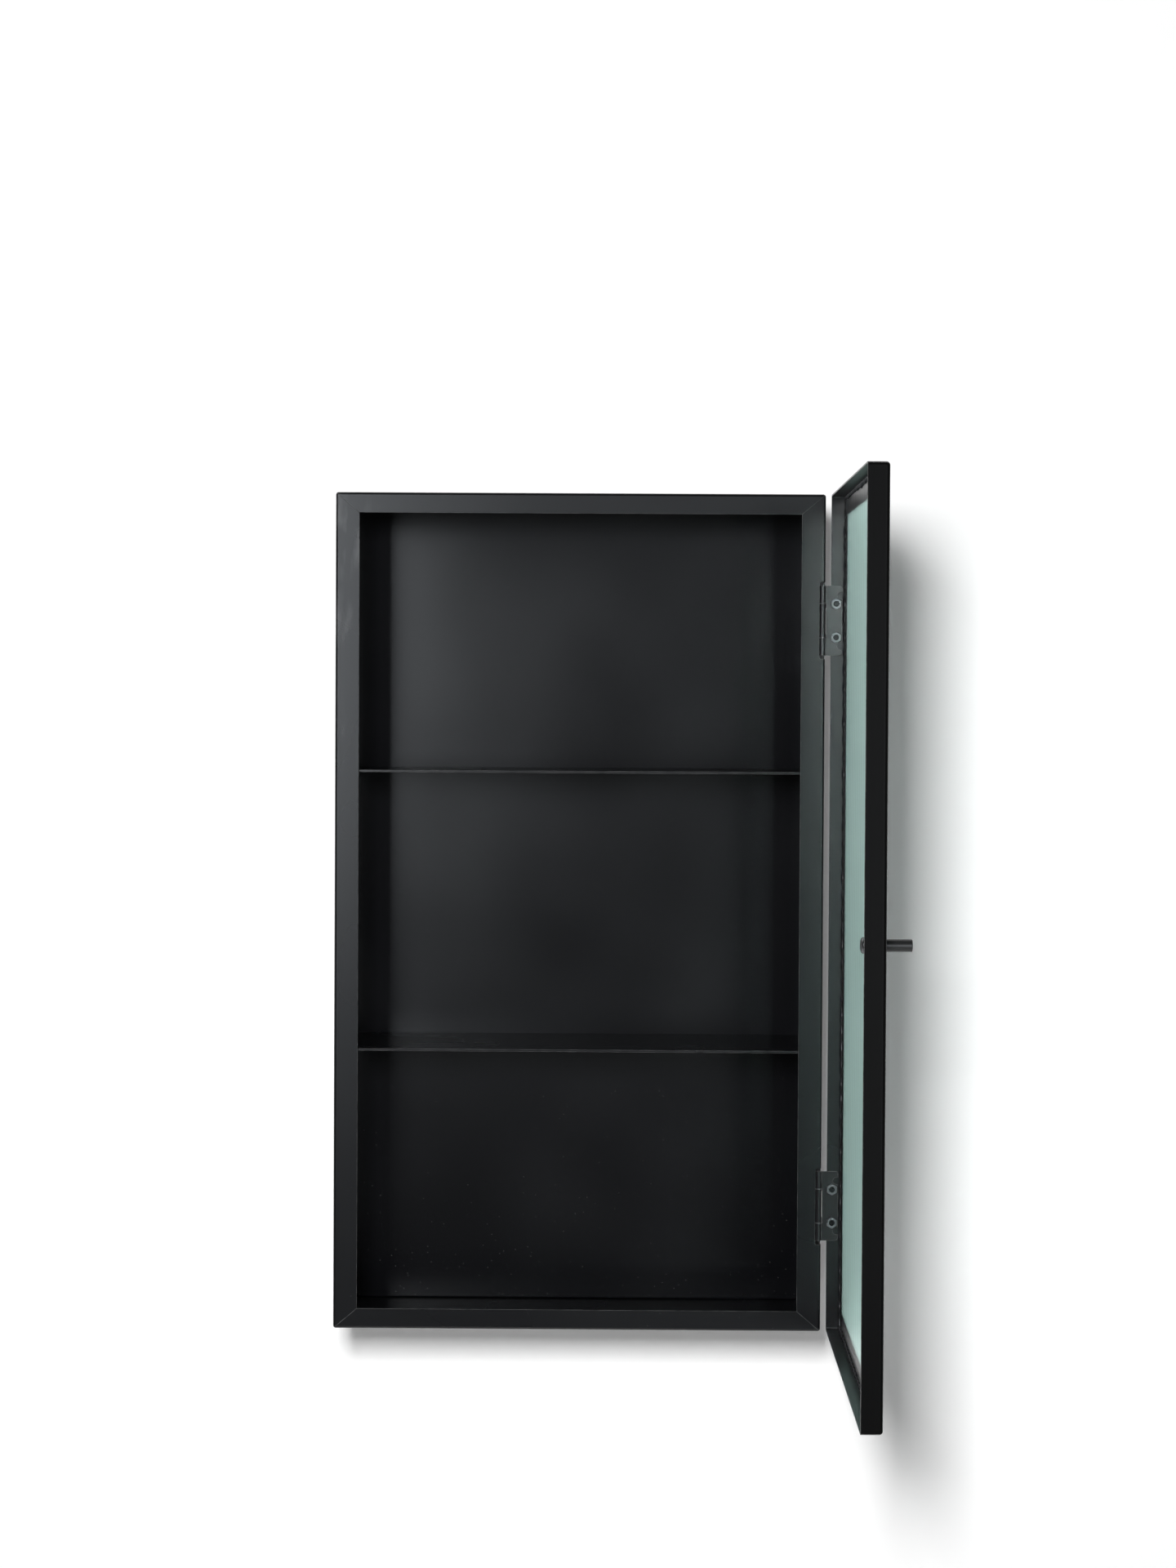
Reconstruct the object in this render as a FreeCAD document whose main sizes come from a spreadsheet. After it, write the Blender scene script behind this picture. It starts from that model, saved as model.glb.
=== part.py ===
"""Wall cabinet of folded sheet steel, 350 x 600 x 150 mm, with one framed glass door.

Frame: the origin is the midpoint between the two hanging holes, on the plane of the wall.
X runs to the right, Y into the wall and Z up, so the front of the box faces -Y.
The door turns about a vertical pivot at the right front edge. Its pieces are built shut,
measured from the pivot at the middle of the door's height, and then turned open together.
"""
import FreeCAD, Part

import os
import re

import Sketcher

# alias, value in millimetres or degrees, what it is
SIZES = [
    ("cabinet_width", 350.0, "width over the box and over the door"),
    ("cabinet_height", 600.0, "height over the box and over the door"),
    ("box_depth", 135.0, "wall plane to the front of the box"),
    ("shell_sheet", 1.2, "sheet of the outer shell"),
    ("shell_edge_radius", 2.0, "outside radius of the shell's folds"),
    ("side_flange", 17.0, "front flange of a side panel, from the outside"),
    ("end_flange", 14.5, "front flange of the top and bottom panels"),
    ("pan_sheet", 1.0, "sheet of the back panel"),
    ("pan_depth", 14.0, "wall plane to the front of the back panel"),
    ("pan_edge_radius", 1.5, "outside radius of the back panel's folds"),
    ("shelf_sheet", 1.5, "thickness of a shelf"),
    ("shelf_side_gap", 0.5, "gap between a shelf's end and the side panel"),
    ("shelf_front_gap", 1.0, "gap between a shelf's front edge and the flange"),
    ("stud_radius", 2.5, "radius of a shelf stud"),
    ("stud_length", 9.0, "length of a shelf stud"),
    ("stud_inset", 25.0, "stud centre from a shelf's front or back edge"),
    ("hanger_inset", 50.0, "side of the cabinet to a hanging hole"),
    ("hanger_drop", 60.0, "top of the cabinet to the hanging holes"),
    ("hanger_sheet", 1.5, "sheet of a wall hanger"),
    ("hanger_width", 36.0, "width of a hanger's raised plate"),
    ("hanger_height", 46.0, "height of a hanger"),
    ("hanger_foot", 8.0, "width of a hanger's foot"),
    ("hanger_below", 18.0, "hanging hole to the hanger's lower edge"),
    ("keyhole_radius", 5.0, "round entry of the keyhole"),
    ("keyhole_slot", 4.6, "width of the keyhole's slot"),
    ("keyhole_rise", 11.0, "entry centre to the centre of the slot's end"),
    ("hinge_drop", 90.0, "end of the door to a hinge's middle"),
    ("pivot_setback", 5.0, "pivot from the front of the box"),
    ("hinge_height", 50.0, "height of a hinge"),
    ("leaf_sheet", 1.0, "thickness of a hinge leaf"),
    ("leaf_end_gap", 0.3, "gap between the door leaf's far edge and the sealant"),
    ("leaf_corner_radius", 2.0, "corners of a leaf"),
    ("leaf_hole_margin", 4.4, "bolt holes from a leaf's far edge"),
    ("leaf_hole_pitch", 24.0, "between a leaf's two bolt holes"),
    ("leaf_scallop_radius", 2.7, "round scallops in a leaf's far edge"),
    ("leaf_scallop_pitch", 36.0, "between a leaf's two scallops"),
    ("barrel_radius", 2.2, "outside radius of the hinge barrel"),
    ("barrel_bore_radius", 1.2, "bore of the hinge barrel"),
    ("pin_clearance", 0.05, "radial clearance of the pin in the bore"),
    ("middle_knuckle", 24.0, "height of the box leaf's knuckle"),
    ("knuckle_gap", 0.5, "gap between two knuckles"),
    ("notch_side_gap", 0.3, "hinge notch beyond the barrel, across the flange"),
    ("notch_back_gap", 1.3, "hinge notch beyond the barrel, along the side panel"),
    ("notch_end_gap", 2.5, "hinge notch beyond each end of the hinge"),
    ("notch_radius", 1.5, "corners of a hinge notch"),
    ("door_gap", 1.0, "gap between the shut door and the box"),
    ("door_depth", 14.0, "depth of the door"),
    ("door_sheet", 1.2, "sheet of the door frame"),
    ("door_leg", 15.0, "face width of the door frame"),
    ("door_edge_radius", 2.4, "outside radius of the door's folds"),
    ("pane_sheet", 3.0, "thickness of the glass"),
    ("pane_edge_gap", 0.3, "gap between the glass and the frame's inside fold"),
    ("bead_on_pane", 3.5, "width of the sealant bead on the glass"),
    ("bead_on_leg", 1.5, "height of the sealant bead on the frame"),
    ("knob_inset", 40.0, "knob centre from the door's free edge"),
    ("knob_radius", 4.0, "radius of the knob"),
    ("knob_length", 19.5, "length of the knob"),
    ("knob_chamfer", 0.4, "chamfer at the knob's end"),
    ("knob_thread_depth", 12.0, "depth of the knob's threaded hole"),
    ("gasket_radius", 4.6, "radius of the gasket under the knob"),
    ("gasket_sheet", 0.8, "thickness of the gasket under the knob"),
    ("washer_radius", 5.0, "radius of the rubber washer inside"),
    ("washer_sheet", 1.0, "thickness of the rubber washer inside"),
    ("spacer_radius", 3.6, "radius of the spacer sleeve"),
    ("knob_head_setback", 0.3, "head of the knob's screw inside the door's back edge"),
    ("knob_head_radius", 5.25, "head radius of the knob's screw"),
    ("knob_head_height", 2.5, "head height of the knob's screw"),
    ("knob_thread_grip", 9.0, "length of the screw inside the knob"),
    ("pane_hole_clearance", 0.6, "radial clearance of the hole in the glass"),
    ("bolt_radius", 2.0, "shank radius of every bolt and screw"),
    ("bolt_clearance", 0.1, "radial clearance of a plain bolt hole"),
    ("thread_clearance", 0.02, "radial clearance drawn for a thread"),
    ("bolt_head_radius", 3.5, "head radius of a hinge bolt"),
    ("bolt_head_height", 1.8, "head height of a hinge bolt"),
    ("bolt_end", 0.8, "length of a hinge bolt past its nut"),
    ("nut_flats", 7.0, "width across a nut's flats"),
    ("nut_height", 3.2, "height of a nut"),
    ("magnet_radius", 3.5, "radius of the catch magnet"),
    ("magnet_length", 3.0, "length of the catch magnet"),
    ("magnet_gap", 0.05, "gap round the magnet in its holder"),
    ("holder_width", 10.0, "magnet holder across the door"),
    ("holder_gap", 0.4, "gap between the magnet holder and the sealant"),
    ("holder_height", 16.0, "height of the magnet holder"),
    ("holder_setback", 0.9, "magnet holder behind the door's back edge"),
    ("mitre_overrun", 0.1, "share by which a mitre cut runs past the sheet"),
    ("cut_overrun", 2.0, "how far a cutting solid runs past a face"),
    ("rest_angle", 90.0, "how far the door stands open at rest"),
]
NAMED = {alias: "Sizes." + alias for alias, _, _ in SIZES}

ALONG_X = FreeCAD.Rotation(FreeCAD.Vector(0, 1, 0), 90)
ALONG_Z = FreeCAD.Rotation()
TOWARDS_FRONT = FreeCAD.Rotation(FreeCAD.Vector(1, 0, 0), 90)
TOWARDS_WALL = FreeCAD.Rotation(FreeCAD.Vector(1, 0, 0), -90)

# millimetres: anything nearer to a plane than this lies on it
NEAR = 0.1
# a screw head's dome, as shares of its radius and height from the crown outwards
HEAD_DOME = ((0, 1), (0.55, 0.92), (0.85, 0.7), (1, 0.3), (1, 0))

# places on the box, in the part's frame: the leaves lie on the inner faces of the sheet
MIDDLE = "(hanger_drop - cabinet_height / 2)"
BOX_INSET = "(shell_sheet + leaf_sheet / 2)"
PIVOT_X = f"(cabinet_width / 2 - {BOX_INSET})"
PIVOT_Y = "(pivot_setback - box_depth)"
PLAIN_HOLE = "bolt_radius + bolt_clearance"
THREADED_HOLE = "bolt_radius + thread_clearance"
NOTCH_WIDTH = f"({BOX_INSET} + barrel_radius + notch_side_gap)"
NOTCH_DEPTH = "(pivot_setback + barrel_radius + notch_back_gap)"
HANGER_X = "(cabinet_width / 2 - hanger_inset)"
HINGE_HEIGHTS = {
    "upper": "(cabinet_height / 2 - hinge_drop)",
    "lower": "(hinge_drop - cabinet_height / 2)",
}

# places on the shut door, measured from the pivot
DOOR_INSET = "(door_sheet + leaf_sheet / 2)"
DOOR_CENTRE = f"({DOOR_INSET} - cabinet_width / 2)"
DOOR_FREE = f"({DOOR_INSET} - cabinet_width)"
DOOR_BACK = "(-pivot_setback - door_gap)"
PANE_FRONT = "(-pivot_setback - door_gap - door_depth + door_sheet)"
PANE_BACK = f"({PANE_FRONT} + pane_sheet)"
KNOB_X = f"({DOOR_FREE} + knob_inset)"
LEAF_REACH = f"(-{PANE_BACK} - bead_on_leg - leaf_end_gap)"
HOLE_REACH = f"({LEAF_REACH} - leaf_hole_margin)"
POCKET_DEPTH = "(door_depth - door_sheet - pane_sheet)"
SPACER_LENGTH = f"({POCKET_DEPTH} - washer_sheet - knob_head_height - knob_head_setback)"
HOLDER_DEPTH = f"({POCKET_DEPTH} - bead_on_leg - holder_setback - holder_gap)"


def sheet_terms(words):
    """Turns plain words such as "cabinet_width / 2" into an expression on the sheet."""
    return re.sub(r"[a-z_]+", lambda found: NAMED.get(found.group(), found.group()), words)


def bind(thing, prop, words):
    """Binds one property of an object to the sheet."""
    thing.setExpression(prop, sheet_terms(words))


def place(thing, where, turn=ALONG_Z):
    """Puts an object at a place given by three expressions, turned by a fixed rotation."""
    thing.Placement = FreeCAD.Placement(FreeCAD.Vector(), turn)
    for axis, words in zip("xyz", where):
        bind(thing, "Placement.Base." + axis, words)
    return thing


def make_sizes(doc):
    """The spreadsheet of driving dimensions."""
    sheet = doc.addObject("Spreadsheet::Sheet", "Sizes")
    for row, (alias, value, note) in enumerate(SIZES, start=1):
        sheet.set(f"A{row}", note)
        sheet.set(f"B{row}", str(value))
        sheet.setAlias(f"B{row}", alias)
    doc.recompute()


def block(doc, name, size, corner):
    """A rectangular block with its lowest corner at the place given."""
    solid = doc.addObject("Part::Box", name)
    for prop, words in zip(("Length", "Width", "Height"), size):
        bind(solid, prop, words)
    return place(solid, corner)


def rod(doc, name, radius, length, start, turn=ALONG_Z):
    """A cylinder that runs from its start along its turned axis."""
    solid = doc.addObject("Part::Cylinder", name)
    bind(solid, "Radius", radius)
    bind(solid, "Height", length)
    return place(solid, start, turn)


def fuse(doc, name, solids):
    """One solid from several that overlap."""
    joined = doc.addObject("Part::MultiFuse", name)
    joined.Shapes = solids
    joined.Refine = True
    return joined


def cut(doc, name, base, tools):
    """A solid less one or more cutting solids."""
    tool = tools[0] if len(tools) == 1 else fuse(doc, name + "_tools", tools)
    result = doc.addObject("Part::Cut", name)
    result.Base = base
    result.Tool = tool
    return result


def outline(body, plane, points):
    """A closed polygon on one of the body's own planes, each corner tied to the sheet."""
    sketch = body.newObject("Sketcher::SketchObject", body.Name + "_outline")
    support = [f for f in body.Origin.OriginFeatures if f.Role == plane][0]
    sketch.AttachmentSupport = [(support, "")]
    sketch.MapMode = "FlatFace"
    numbers = [[number_of(words) for words in point] for point in points]
    corners = [FreeCAD.Vector(across, up, 0) for across, up in numbers]
    for start, end in zip(corners, corners[1:] + corners[:1]):
        sketch.addGeometry(Part.LineSegment(start, end))
    for index, point in enumerate(points):
        following = (index + 1) % len(points)
        sketch.addConstraint(Sketcher.Constraint("Coincident", index, 2, following, 1))
        for kind, words, number in zip(("DistanceX", "DistanceY"), point, numbers[index]):
            tie = sketch.addConstraint(Sketcher.Constraint(kind, -1, 1, index, 1, number))
            bind(sketch, f"Constraints[{tie}]", words)
    return sketch


def number_of(words):
    """The number that an expression gives for the values as written above."""
    sheet = FreeCAD.ActiveDocument.getObject("Sizes")
    return float(sheet.evalExpression(sheet_terms(words)))


def padded(doc, name, plane, points, length, where, symmetric=False):
    """A body: a polygon padded square to its plane."""
    body = doc.addObject("PartDesign::Body", name)
    pad = body.newObject("PartDesign::Pad", name + "_pad")
    pad.Profile = outline(body, plane, points)
    pad.SideType = "Symmetric" if symmetric else "One side"
    bind(pad, "Length", length)
    return place(body, where)


def turned(doc, name, points, where, turn):
    """A body: a polygon of (radius, height) points revolved about its height axis."""
    body = doc.addObject("PartDesign::Body", name)
    sketch = outline(body, "XZ_Plane", points)
    spin = body.newObject("PartDesign::Revolution", name + "_spin")
    spin.Profile = sketch
    spin.ReferenceAxis = (sketch, ["V_Axis"])
    spin.Angle = 360
    return place(body, where, turn)


def rounded(doc, body, radius, keep):
    """Fillets those edges of a padded body whose middle point passes the test."""
    doc.recompute()
    pad = body.Tip
    edges = enumerate(pad.Shape.Edges, start=1)
    names = [f"Edge{number}" for number, edge in edges if keep(edge.CenterOfMass)]
    fillet = body.newObject("PartDesign::Fillet", body.Name + "_folds")
    fillet.Base = (pad, names)
    bind(fillet, "Radius", radius)
    return body


def centred_rectangle(width, height):
    """Corners of a rectangle about the sketch's origin."""
    signs = ((-1, -1), (1, -1), (1, 1), (-1, 1))
    return [(f"{across} * ({width}) / 2", f"{up} * ({height}) / 2") for across, up in signs]


def folded_tray(doc, name, size, where, radius):
    """A block that reaches forward from its back plane, every edge but the back ones rounded."""
    width, depth, height = size
    tray = padded(doc, name, "XZ_Plane", centred_rectangle(width, height), depth, where)
    return rounded(doc, tray, radius, lambda middle: middle.y < -NEAR)


def hollow_tray(doc, name, size, where, radius, sheet):
    """A tray folded from sheet: a closed front, four walls and an open back."""
    width, depth, height = size
    across, back, up = where
    outside = folded_tray(doc, name + "_outside", size, where, radius)
    behind = f"{back} + cut_overrun"
    inner = (f"{width} - 2 * {sheet}", f"{depth} - {sheet} + cut_overrun", f"{height} - 2 * {sheet}")
    start = (across, behind, up)
    inside = folded_tray(doc, name + "_inside", inner, start, f"{radius} - {sheet}")
    return cut(doc, name, outside, [inside])


def overlap(doc, name, base, tool):
    """What two solids have in common."""
    shared = doc.addObject("Part::Common", name)
    shared.Base = base
    shared.Tool = tool
    return shared


def mitre_corner(side, end, share, flanges):
    """A point on a corner's mitre line: share 0 at the outer corner and 1 at the inner one."""
    side_flange, end_flange = flanges
    across = f"{side} * (cabinet_width / 2 - ({share}) * {side_flange})"
    up = f"{end} * (cabinet_height / 2 - ({share}) * {end_flange})"
    return across, up


def mitred_panels(doc, name, tray, flanges, depth, where):
    """Cuts the mouth out of a tray and parts its rim at the mitres into four panels."""
    side_flange, end_flange = flanges
    opening = centred_rectangle(
        f"cabinet_width - 2 * {side_flange}", f"cabinet_height - 2 * {end_flange}")
    through = f"3 * {depth}"
    mouth = padded(doc, name + "_mouth", "XZ_Plane", opening, through, where, symmetric=True)
    rim = cut(doc, name + "_rim", tray, [mouth])
    out, into = "-mitre_overrun", "1 + mitre_overrun"
    sides = {
        "left": (-1, -1, -1, 1),
        "right": (1, -1, 1, 1),
        "bottom": (-1, -1, 1, -1),
        "top": (-1, 1, 1, 1),
    }
    panels = {}
    for side, (first_x, first_z, second_x, second_z) in sides.items():
        corners = [
            mitre_corner(first_x, first_z, out, flanges),
            mitre_corner(second_x, second_z, out, flanges),
            mitre_corner(second_x, second_z, into, flanges),
            mitre_corner(first_x, first_z, into, flanges),
        ]
        clip = padded(
            doc, f"{name}_{side}_clip", "XZ_Plane", corners, through, where, symmetric=True)
        panels[side] = overlap(doc, f"{name}_{side}", rim, clip)
    return panels


def piece(doc, label, solids):
    """A named sub-part, as one object that holds its solids."""
    group = doc.addObject("Part::Compound", label)
    group.Links = solids
    group.Label = label
    return group


def door_piece(doc, label, solids):
    """A named sub-part of the door, turned open about the pivot."""
    group = place(piece(doc, label, solids), (PIVOT_X, PIVOT_Y, MIDDLE))
    bind(group, "Placement.Rotation.Angle", "rest_angle")
    return group


def hinge_places(on_door):
    """Each hinge's name with the place of its pivot's middle, for the box or for the door."""
    for name, height in HINGE_HEIGHTS.items():
        if on_door:
            yield name, ("0", "0", height)
        else:
            yield name, (PIVOT_X, PIVOT_Y, f"{MIDDLE} + {height}")


def bolt_places(on_door):
    """The four bolts' places on the box or on the door: on the pivot's plane, at each leaf hole."""
    way = -1 if on_door else 1
    for name, (across, back, up) in hinge_places(on_door):
        for end in (-1, 1):
            along = f"{back} + {way} * {HOLE_REACH}"
            yield f"{name}_{end + 1}", (across, along, f"{up} + {end} * leaf_hole_pitch / 2")


def bolt_holes(doc, name, on_door):
    """Cutting rods for the bolt holes in a side panel or stile and in the leaves on it."""
    tools = []
    inset = DOOR_INSET if on_door else BOX_INSET
    for spot, (across, back, up) in bolt_places(on_door):
        start = (f"{across} - leaf_sheet", back, up)
        length = f"leaf_sheet + {inset} + cut_overrun"
        tools.append(rod(doc, f"{name}_{spot}_hole", PLAIN_HOLE, length, start, ALONG_X))
    return tools


def hinge_notches(doc):
    """Cutting blocks for the two hinge notches, with their inner corners rounded."""
    tools = []
    for name, (_, _, up) in hinge_places(False):
        width = f"({NOTCH_WIDTH} + cut_overrun)"
        across = f"cabinet_width / 2 - {NOTCH_WIDTH} + {width} / 2"
        where = (across, f"{NOTCH_DEPTH} - box_depth", up)
        shape = centred_rectangle(width, "hinge_height + 2 * notch_end_gap")
        depth = f"{NOTCH_DEPTH} + cut_overrun"
        notch = padded(doc, f"{name}_notch", "XZ_Plane", shape, depth, where)
        tools.append(rounded(doc, notch, "notch_radius", is_inner_corner))
    return tools


def is_inner_corner(middle):
    """Whether an edge of a notch's cutter runs back from a corner of the notch in the flange."""
    return middle.x < -NEAR and abs(middle.z) > NEAR


def make_shell(doc):
    """Side, top and bottom panels: one folded rim with a front flange, parted at the mitres."""
    size = ("cabinet_width", "box_depth", "cabinet_height")
    where = ("0", "0", MIDDLE)
    tray = hollow_tray(doc, "shell", size, where, "shell_edge_radius", "shell_sheet")
    panels = mitred_panels(doc, "shell", tray, ("side_flange", "end_flange"), "box_depth", where)
    cutters = hinge_notches(doc) + bolt_holes(doc, "shell", False)
    panels["right"] = cut(doc, "shell_right_cut", panels["right"], cutters)
    labels = {
        "left": "left_side_panel",
        "right": "right_side_panel",
        "top": "top_panel",
        "bottom": "bottom_panel",
    }
    return [piece(doc, label, [panels[side]]) for side, label in labels.items()]


def make_back_panel(doc):
    """A shallow pan inside the shell, its folded edges running back to the wall."""
    size = ("cabinet_width - 2 * shell_sheet", "pan_depth", "cabinet_height - 2 * shell_sheet")
    pan = hollow_tray(doc, "pan", size, ("0", "0", MIDDLE), "pan_edge_radius", "pan_sheet")
    return [piece(doc, "back_panel", [pan])]


def make_shelf(doc, name, number):
    """One shelf, a number of thirds down the box, and the four studs that carry it."""
    front = "(shell_sheet + shelf_front_gap - box_depth)"
    half = "(cabinet_width / 2 - shell_sheet - shelf_side_gap)"
    under = f"(hanger_drop - {number} * cabinet_height / 3)"
    size = (f"2 * {half}", f"-pan_depth - {front}", "shelf_sheet")
    plate = block(doc, f"{name}_plate", size, (f"-{half}", front, under))
    studs = []
    for row, back in (("front", f"{front} + stud_inset"), ("rear", "-pan_depth - stud_inset")):
        left = "shell_sheet - cabinet_width / 2"
        right = "cabinet_width / 2 - shell_sheet - stud_length"
        for side, across in (("left", left), ("right", right)):
            start = (across, back, f"{under} - stud_radius")
            label = f"{name}_{row}_{side}_stud"
            studs.append(rod(doc, label, "stud_radius", "stud_length", start, ALONG_X))
    return [piece(doc, name, [plate]), piece(doc, f"{name}_studs", studs)]


def make_hanger(doc, side, sign):
    """A hat-shaped bracket on the back panel's rear, its keyhole plate on the wall's plane."""
    name = f"{side}_wall_hanger"
    half = "hanger_width / 2"
    foot = "(hanger_width / 2 + hanger_foot)"
    floor = "(pan_sheet - pan_depth)"
    above = f"{floor} + hanger_sheet"
    inner = f"{half} - hanger_sheet"
    points = [
        (f"-{foot}", floor), (f"-({inner})", floor), (f"-({inner})", "-hanger_sheet"),
        (inner, "-hanger_sheet"), (inner, floor), (foot, floor),
        (foot, above), (half, above), (half, "0"),
        (f"-{half}", "0"), (f"-{half}", above), (f"-{foot}", above),
    ]
    across = f"{sign} * {HANGER_X}"
    hat = padded(doc, f"{name}_hat", "XY_Plane", points, "hanger_height", (across, "0", "-hanger_below"))
    front = "-hanger_sheet - cut_overrun"
    through = "hanger_sheet + 2 * cut_overrun"
    centre = (across, front, "0")
    entry = rod(doc, f"{name}_entry", "keyhole_radius", through, centre, TOWARDS_WALL)
    raised = (across, front, "keyhole_rise")
    end = rod(doc, f"{name}_slot_end", "keyhole_slot / 2", through, raised, TOWARDS_WALL)
    corner = (f"{across} - keyhole_slot / 2", front, "0")
    slot = block(doc, f"{name}_slot", ("keyhole_slot", through, "keyhole_rise"), corner)
    return piece(doc, name, [cut(doc, f"{name}_cut", hat, [entry, slot, end])])


def make_leaf(doc, name, where, on_door):
    """A hinge leaf with its knuckles; it lies on the pivot's plane and runs away from the barrel."""
    across, back, up = where
    way = -1 if on_door else 1
    near, far = sorted((0, way))
    ends = [f"{near} * {LEAF_REACH}", f"{far} * {LEAF_REACH}"]
    points = [(along, "-hinge_height / 2") for along in ends]
    points += [(along, "hinge_height / 2") for along in reversed(ends)]
    plate = padded(doc, f"{name}_plate", "YZ_Plane", points, "leaf_sheet", where, symmetric=True)
    rounded(doc, plate, "leaf_corner_radius",
            lambda middle: way * middle.y > NEAR and abs(middle.x) < NEAR)
    middle = "middle_knuckle / 2"
    outer_start = "(middle_knuckle / 2 + knuckle_gap)"
    outer_length = "hinge_height / 2 - middle_knuckle / 2 - knuckle_gap"
    if on_door:
        knuckles = [("-hinge_height / 2", outer_length), (outer_start, outer_length)]
        gaps = [(f"-1 * {outer_start}", f"2 * {outer_start}")]
    else:
        knuckles = [(f"-{middle}", "middle_knuckle")]
        gaps = [("-hinge_height / 2 - cut_overrun", f"{outer_length} + knuckle_gap + cut_overrun"),
                (middle, f"{outer_length} + knuckle_gap + cut_overrun")]
    solids = [plate]
    for number, (low, height) in enumerate(knuckles):
        start = (across, back, f"{up} + {low}")
        solids.append(rod(doc, f"{name}_knuckle_{number}", "barrel_radius", height, start))
    clear = "(barrel_radius + knuckle_gap)"
    tools = [rod(doc, f"{name}_bore", "barrel_bore_radius", "hinge_height + 2 * cut_overrun",
                 (across, back, f"{up} - hinge_height / 2 - cut_overrun"))]
    for number, (low, height) in enumerate(gaps):
        corner = (f"{across} - {clear}", f"{back} - {clear}", f"{up} + {low}")
        size = (f"2 * {clear}", f"2 * {clear}", height)
        tools.append(block(doc, f"{name}_gap_{number}", size, corner))
    through = "2 * leaf_sheet"
    start = f"{across} - leaf_sheet"
    edge = f"{back} + {way} * ({LEAF_REACH} - leaf_scallop_radius / 3)"
    along = f"{back} + {way} * {HOLE_REACH}"
    for end in (-1, 1):
        scallop = (start, edge, f"{up} + {end} * leaf_scallop_pitch / 2")
        label = f"{name}_scallop_{end + 1}"
        tools.append(rod(doc, label, "leaf_scallop_radius", through, scallop, ALONG_X))
        hole = (start, along, f"{up} + {end} * leaf_hole_pitch / 2")
        tools.append(rod(doc, f"{name}_hole_{end + 1}", PLAIN_HOLE, through, hole, ALONG_X))
    return cut(doc, f"{name}_cut", fuse(doc, f"{name}_blank", solids), tools)


def make_hinges(doc):
    """Both hinges: the leaves on the box, the leaves on the door and the pins between them."""
    pieces = []
    for name, where in hinge_places(False):
        label = f"{name}_hinge_box_leaf"
        pieces.append(piece(doc, label, [make_leaf(doc, label + "_solid", where, False)]))
        across, back, up = where
        start = (across, back, f"{up} - hinge_height / 2")
        pin = rod(doc, f"{name}_pin_rod", "barrel_bore_radius - pin_clearance", "hinge_height", start)
        pieces.append(piece(doc, f"{name}_hinge_pin", [pin]))
    for name, where in hinge_places(True):
        label = f"{name}_hinge_door_leaf"
        pieces.append(door_piece(doc, label, [make_leaf(doc, label + "_solid", where, True)]))
    return pieces


def screw(doc, name, head_radius, head_height, length, where, turn):
    """A screw with a low domed head; it starts under its head, which is on the side turned to."""
    points = [(f"{out} * {head_radius}", f"{up} * {head_height}") for out, up in HEAD_DOME]
    points += [("bolt_radius", "0"), ("bolt_radius", f"-({length})"), ("0", f"-({length})")]
    return turned(doc, name, points, where, turn)


def ring(doc, name, outer, inner, height, where, turn):
    """A plain round ring or sleeve."""
    points = [(inner, "0"), (outer, "0"), (outer, height), (inner, height)]
    return turned(doc, name, points, where, turn)


def make_bolts(doc, on_door):
    """The bolts and nuts that hold the leaves to the box or to the door, one node of each."""
    bolts = []
    nuts = []
    owner = "door" if on_door else "box"
    inset = DOOR_INSET if on_door else BOX_INSET
    length = f"{inset} + leaf_sheet / 2 + nut_height + bolt_end"
    for spot, (across, back, up) in bolt_places(on_door):
        under_head = (f"{across} + {inset}", back, up)
        bolts.append(screw(doc, f"{owner}_{spot}_bolt", "bolt_head_radius", "bolt_head_height",
                           length, under_head, ALONG_X))
        start = (f"{across} - leaf_sheet / 2 - nut_height", back, up)
        hexagon = doc.addObject("Part::Prism", f"{owner}_{spot}_hexagon")
        hexagon.Polygon = 6
        bind(hexagon, "Circumradius", "nut_flats / 2 / sqrt(3) * 2")
        bind(hexagon, "Height", "nut_height")
        place(hexagon, start, ALONG_X)
        bore_start = (f"{across} - leaf_sheet / 2 - nut_height - cut_overrun", back, up)
        bore = rod(doc, f"{owner}_{spot}_thread", THREADED_HOLE,
                   "nut_height + 2 * cut_overrun", bore_start, ALONG_X)
        nuts.append(cut(doc, f"{owner}_{spot}_nut", hexagon, [bore]))
    make = door_piece if on_door else piece
    return [make(doc, f"{owner}_hinge_bolts", bolts), make(doc, f"{owner}_hinge_nuts", nuts)]


def make_door_frame(doc):
    """Two rails and two stiles of folded sheet, mitred and welded at the corners.

    The hinge stile is two sub-parts that meet behind its fold: its face, and the leg that
    carries the hinges.
    """
    size = ("cabinet_width", "door_depth", "cabinet_height")
    where = (DOOR_CENTRE, DOOR_BACK, "0")
    tray = hollow_tray(doc, "frame", size, where, "door_edge_radius", "door_sheet")
    panels = mitred_panels(doc, "frame", tray, ("door_leg", "door_leg"), "door_depth", where)
    stile = panels.pop("right")
    drilled = cut(doc, "frame_right_cut", stile, bolt_holes(doc, "frame", True))
    behind = block(
        doc, "behind_the_fold",
        ("door_leg + cut_overrun", "door_depth", "cabinet_height + 2 * cut_overrun"),
        (f"{DOOR_INSET} - door_leg", f"{DOOR_BACK} - door_depth + door_edge_radius",
         "-cabinet_height / 2 - cut_overrun"))
    labels = {"left": "door_free_stile", "top": "door_top_rail", "bottom": "door_bottom_rail"}
    pieces = [door_piece(doc, label, [panels[side]]) for side, label in labels.items()]
    face = cut(doc, "frame_right_face", drilled, [behind])
    leg = overlap(doc, "frame_right_leg", drilled, behind)
    pieces.append(door_piece(doc, "door_hinge_stile", [face]))
    pieces.append(door_piece(doc, "door_hinge_stile_leg", [leg]))
    return pieces


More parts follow.
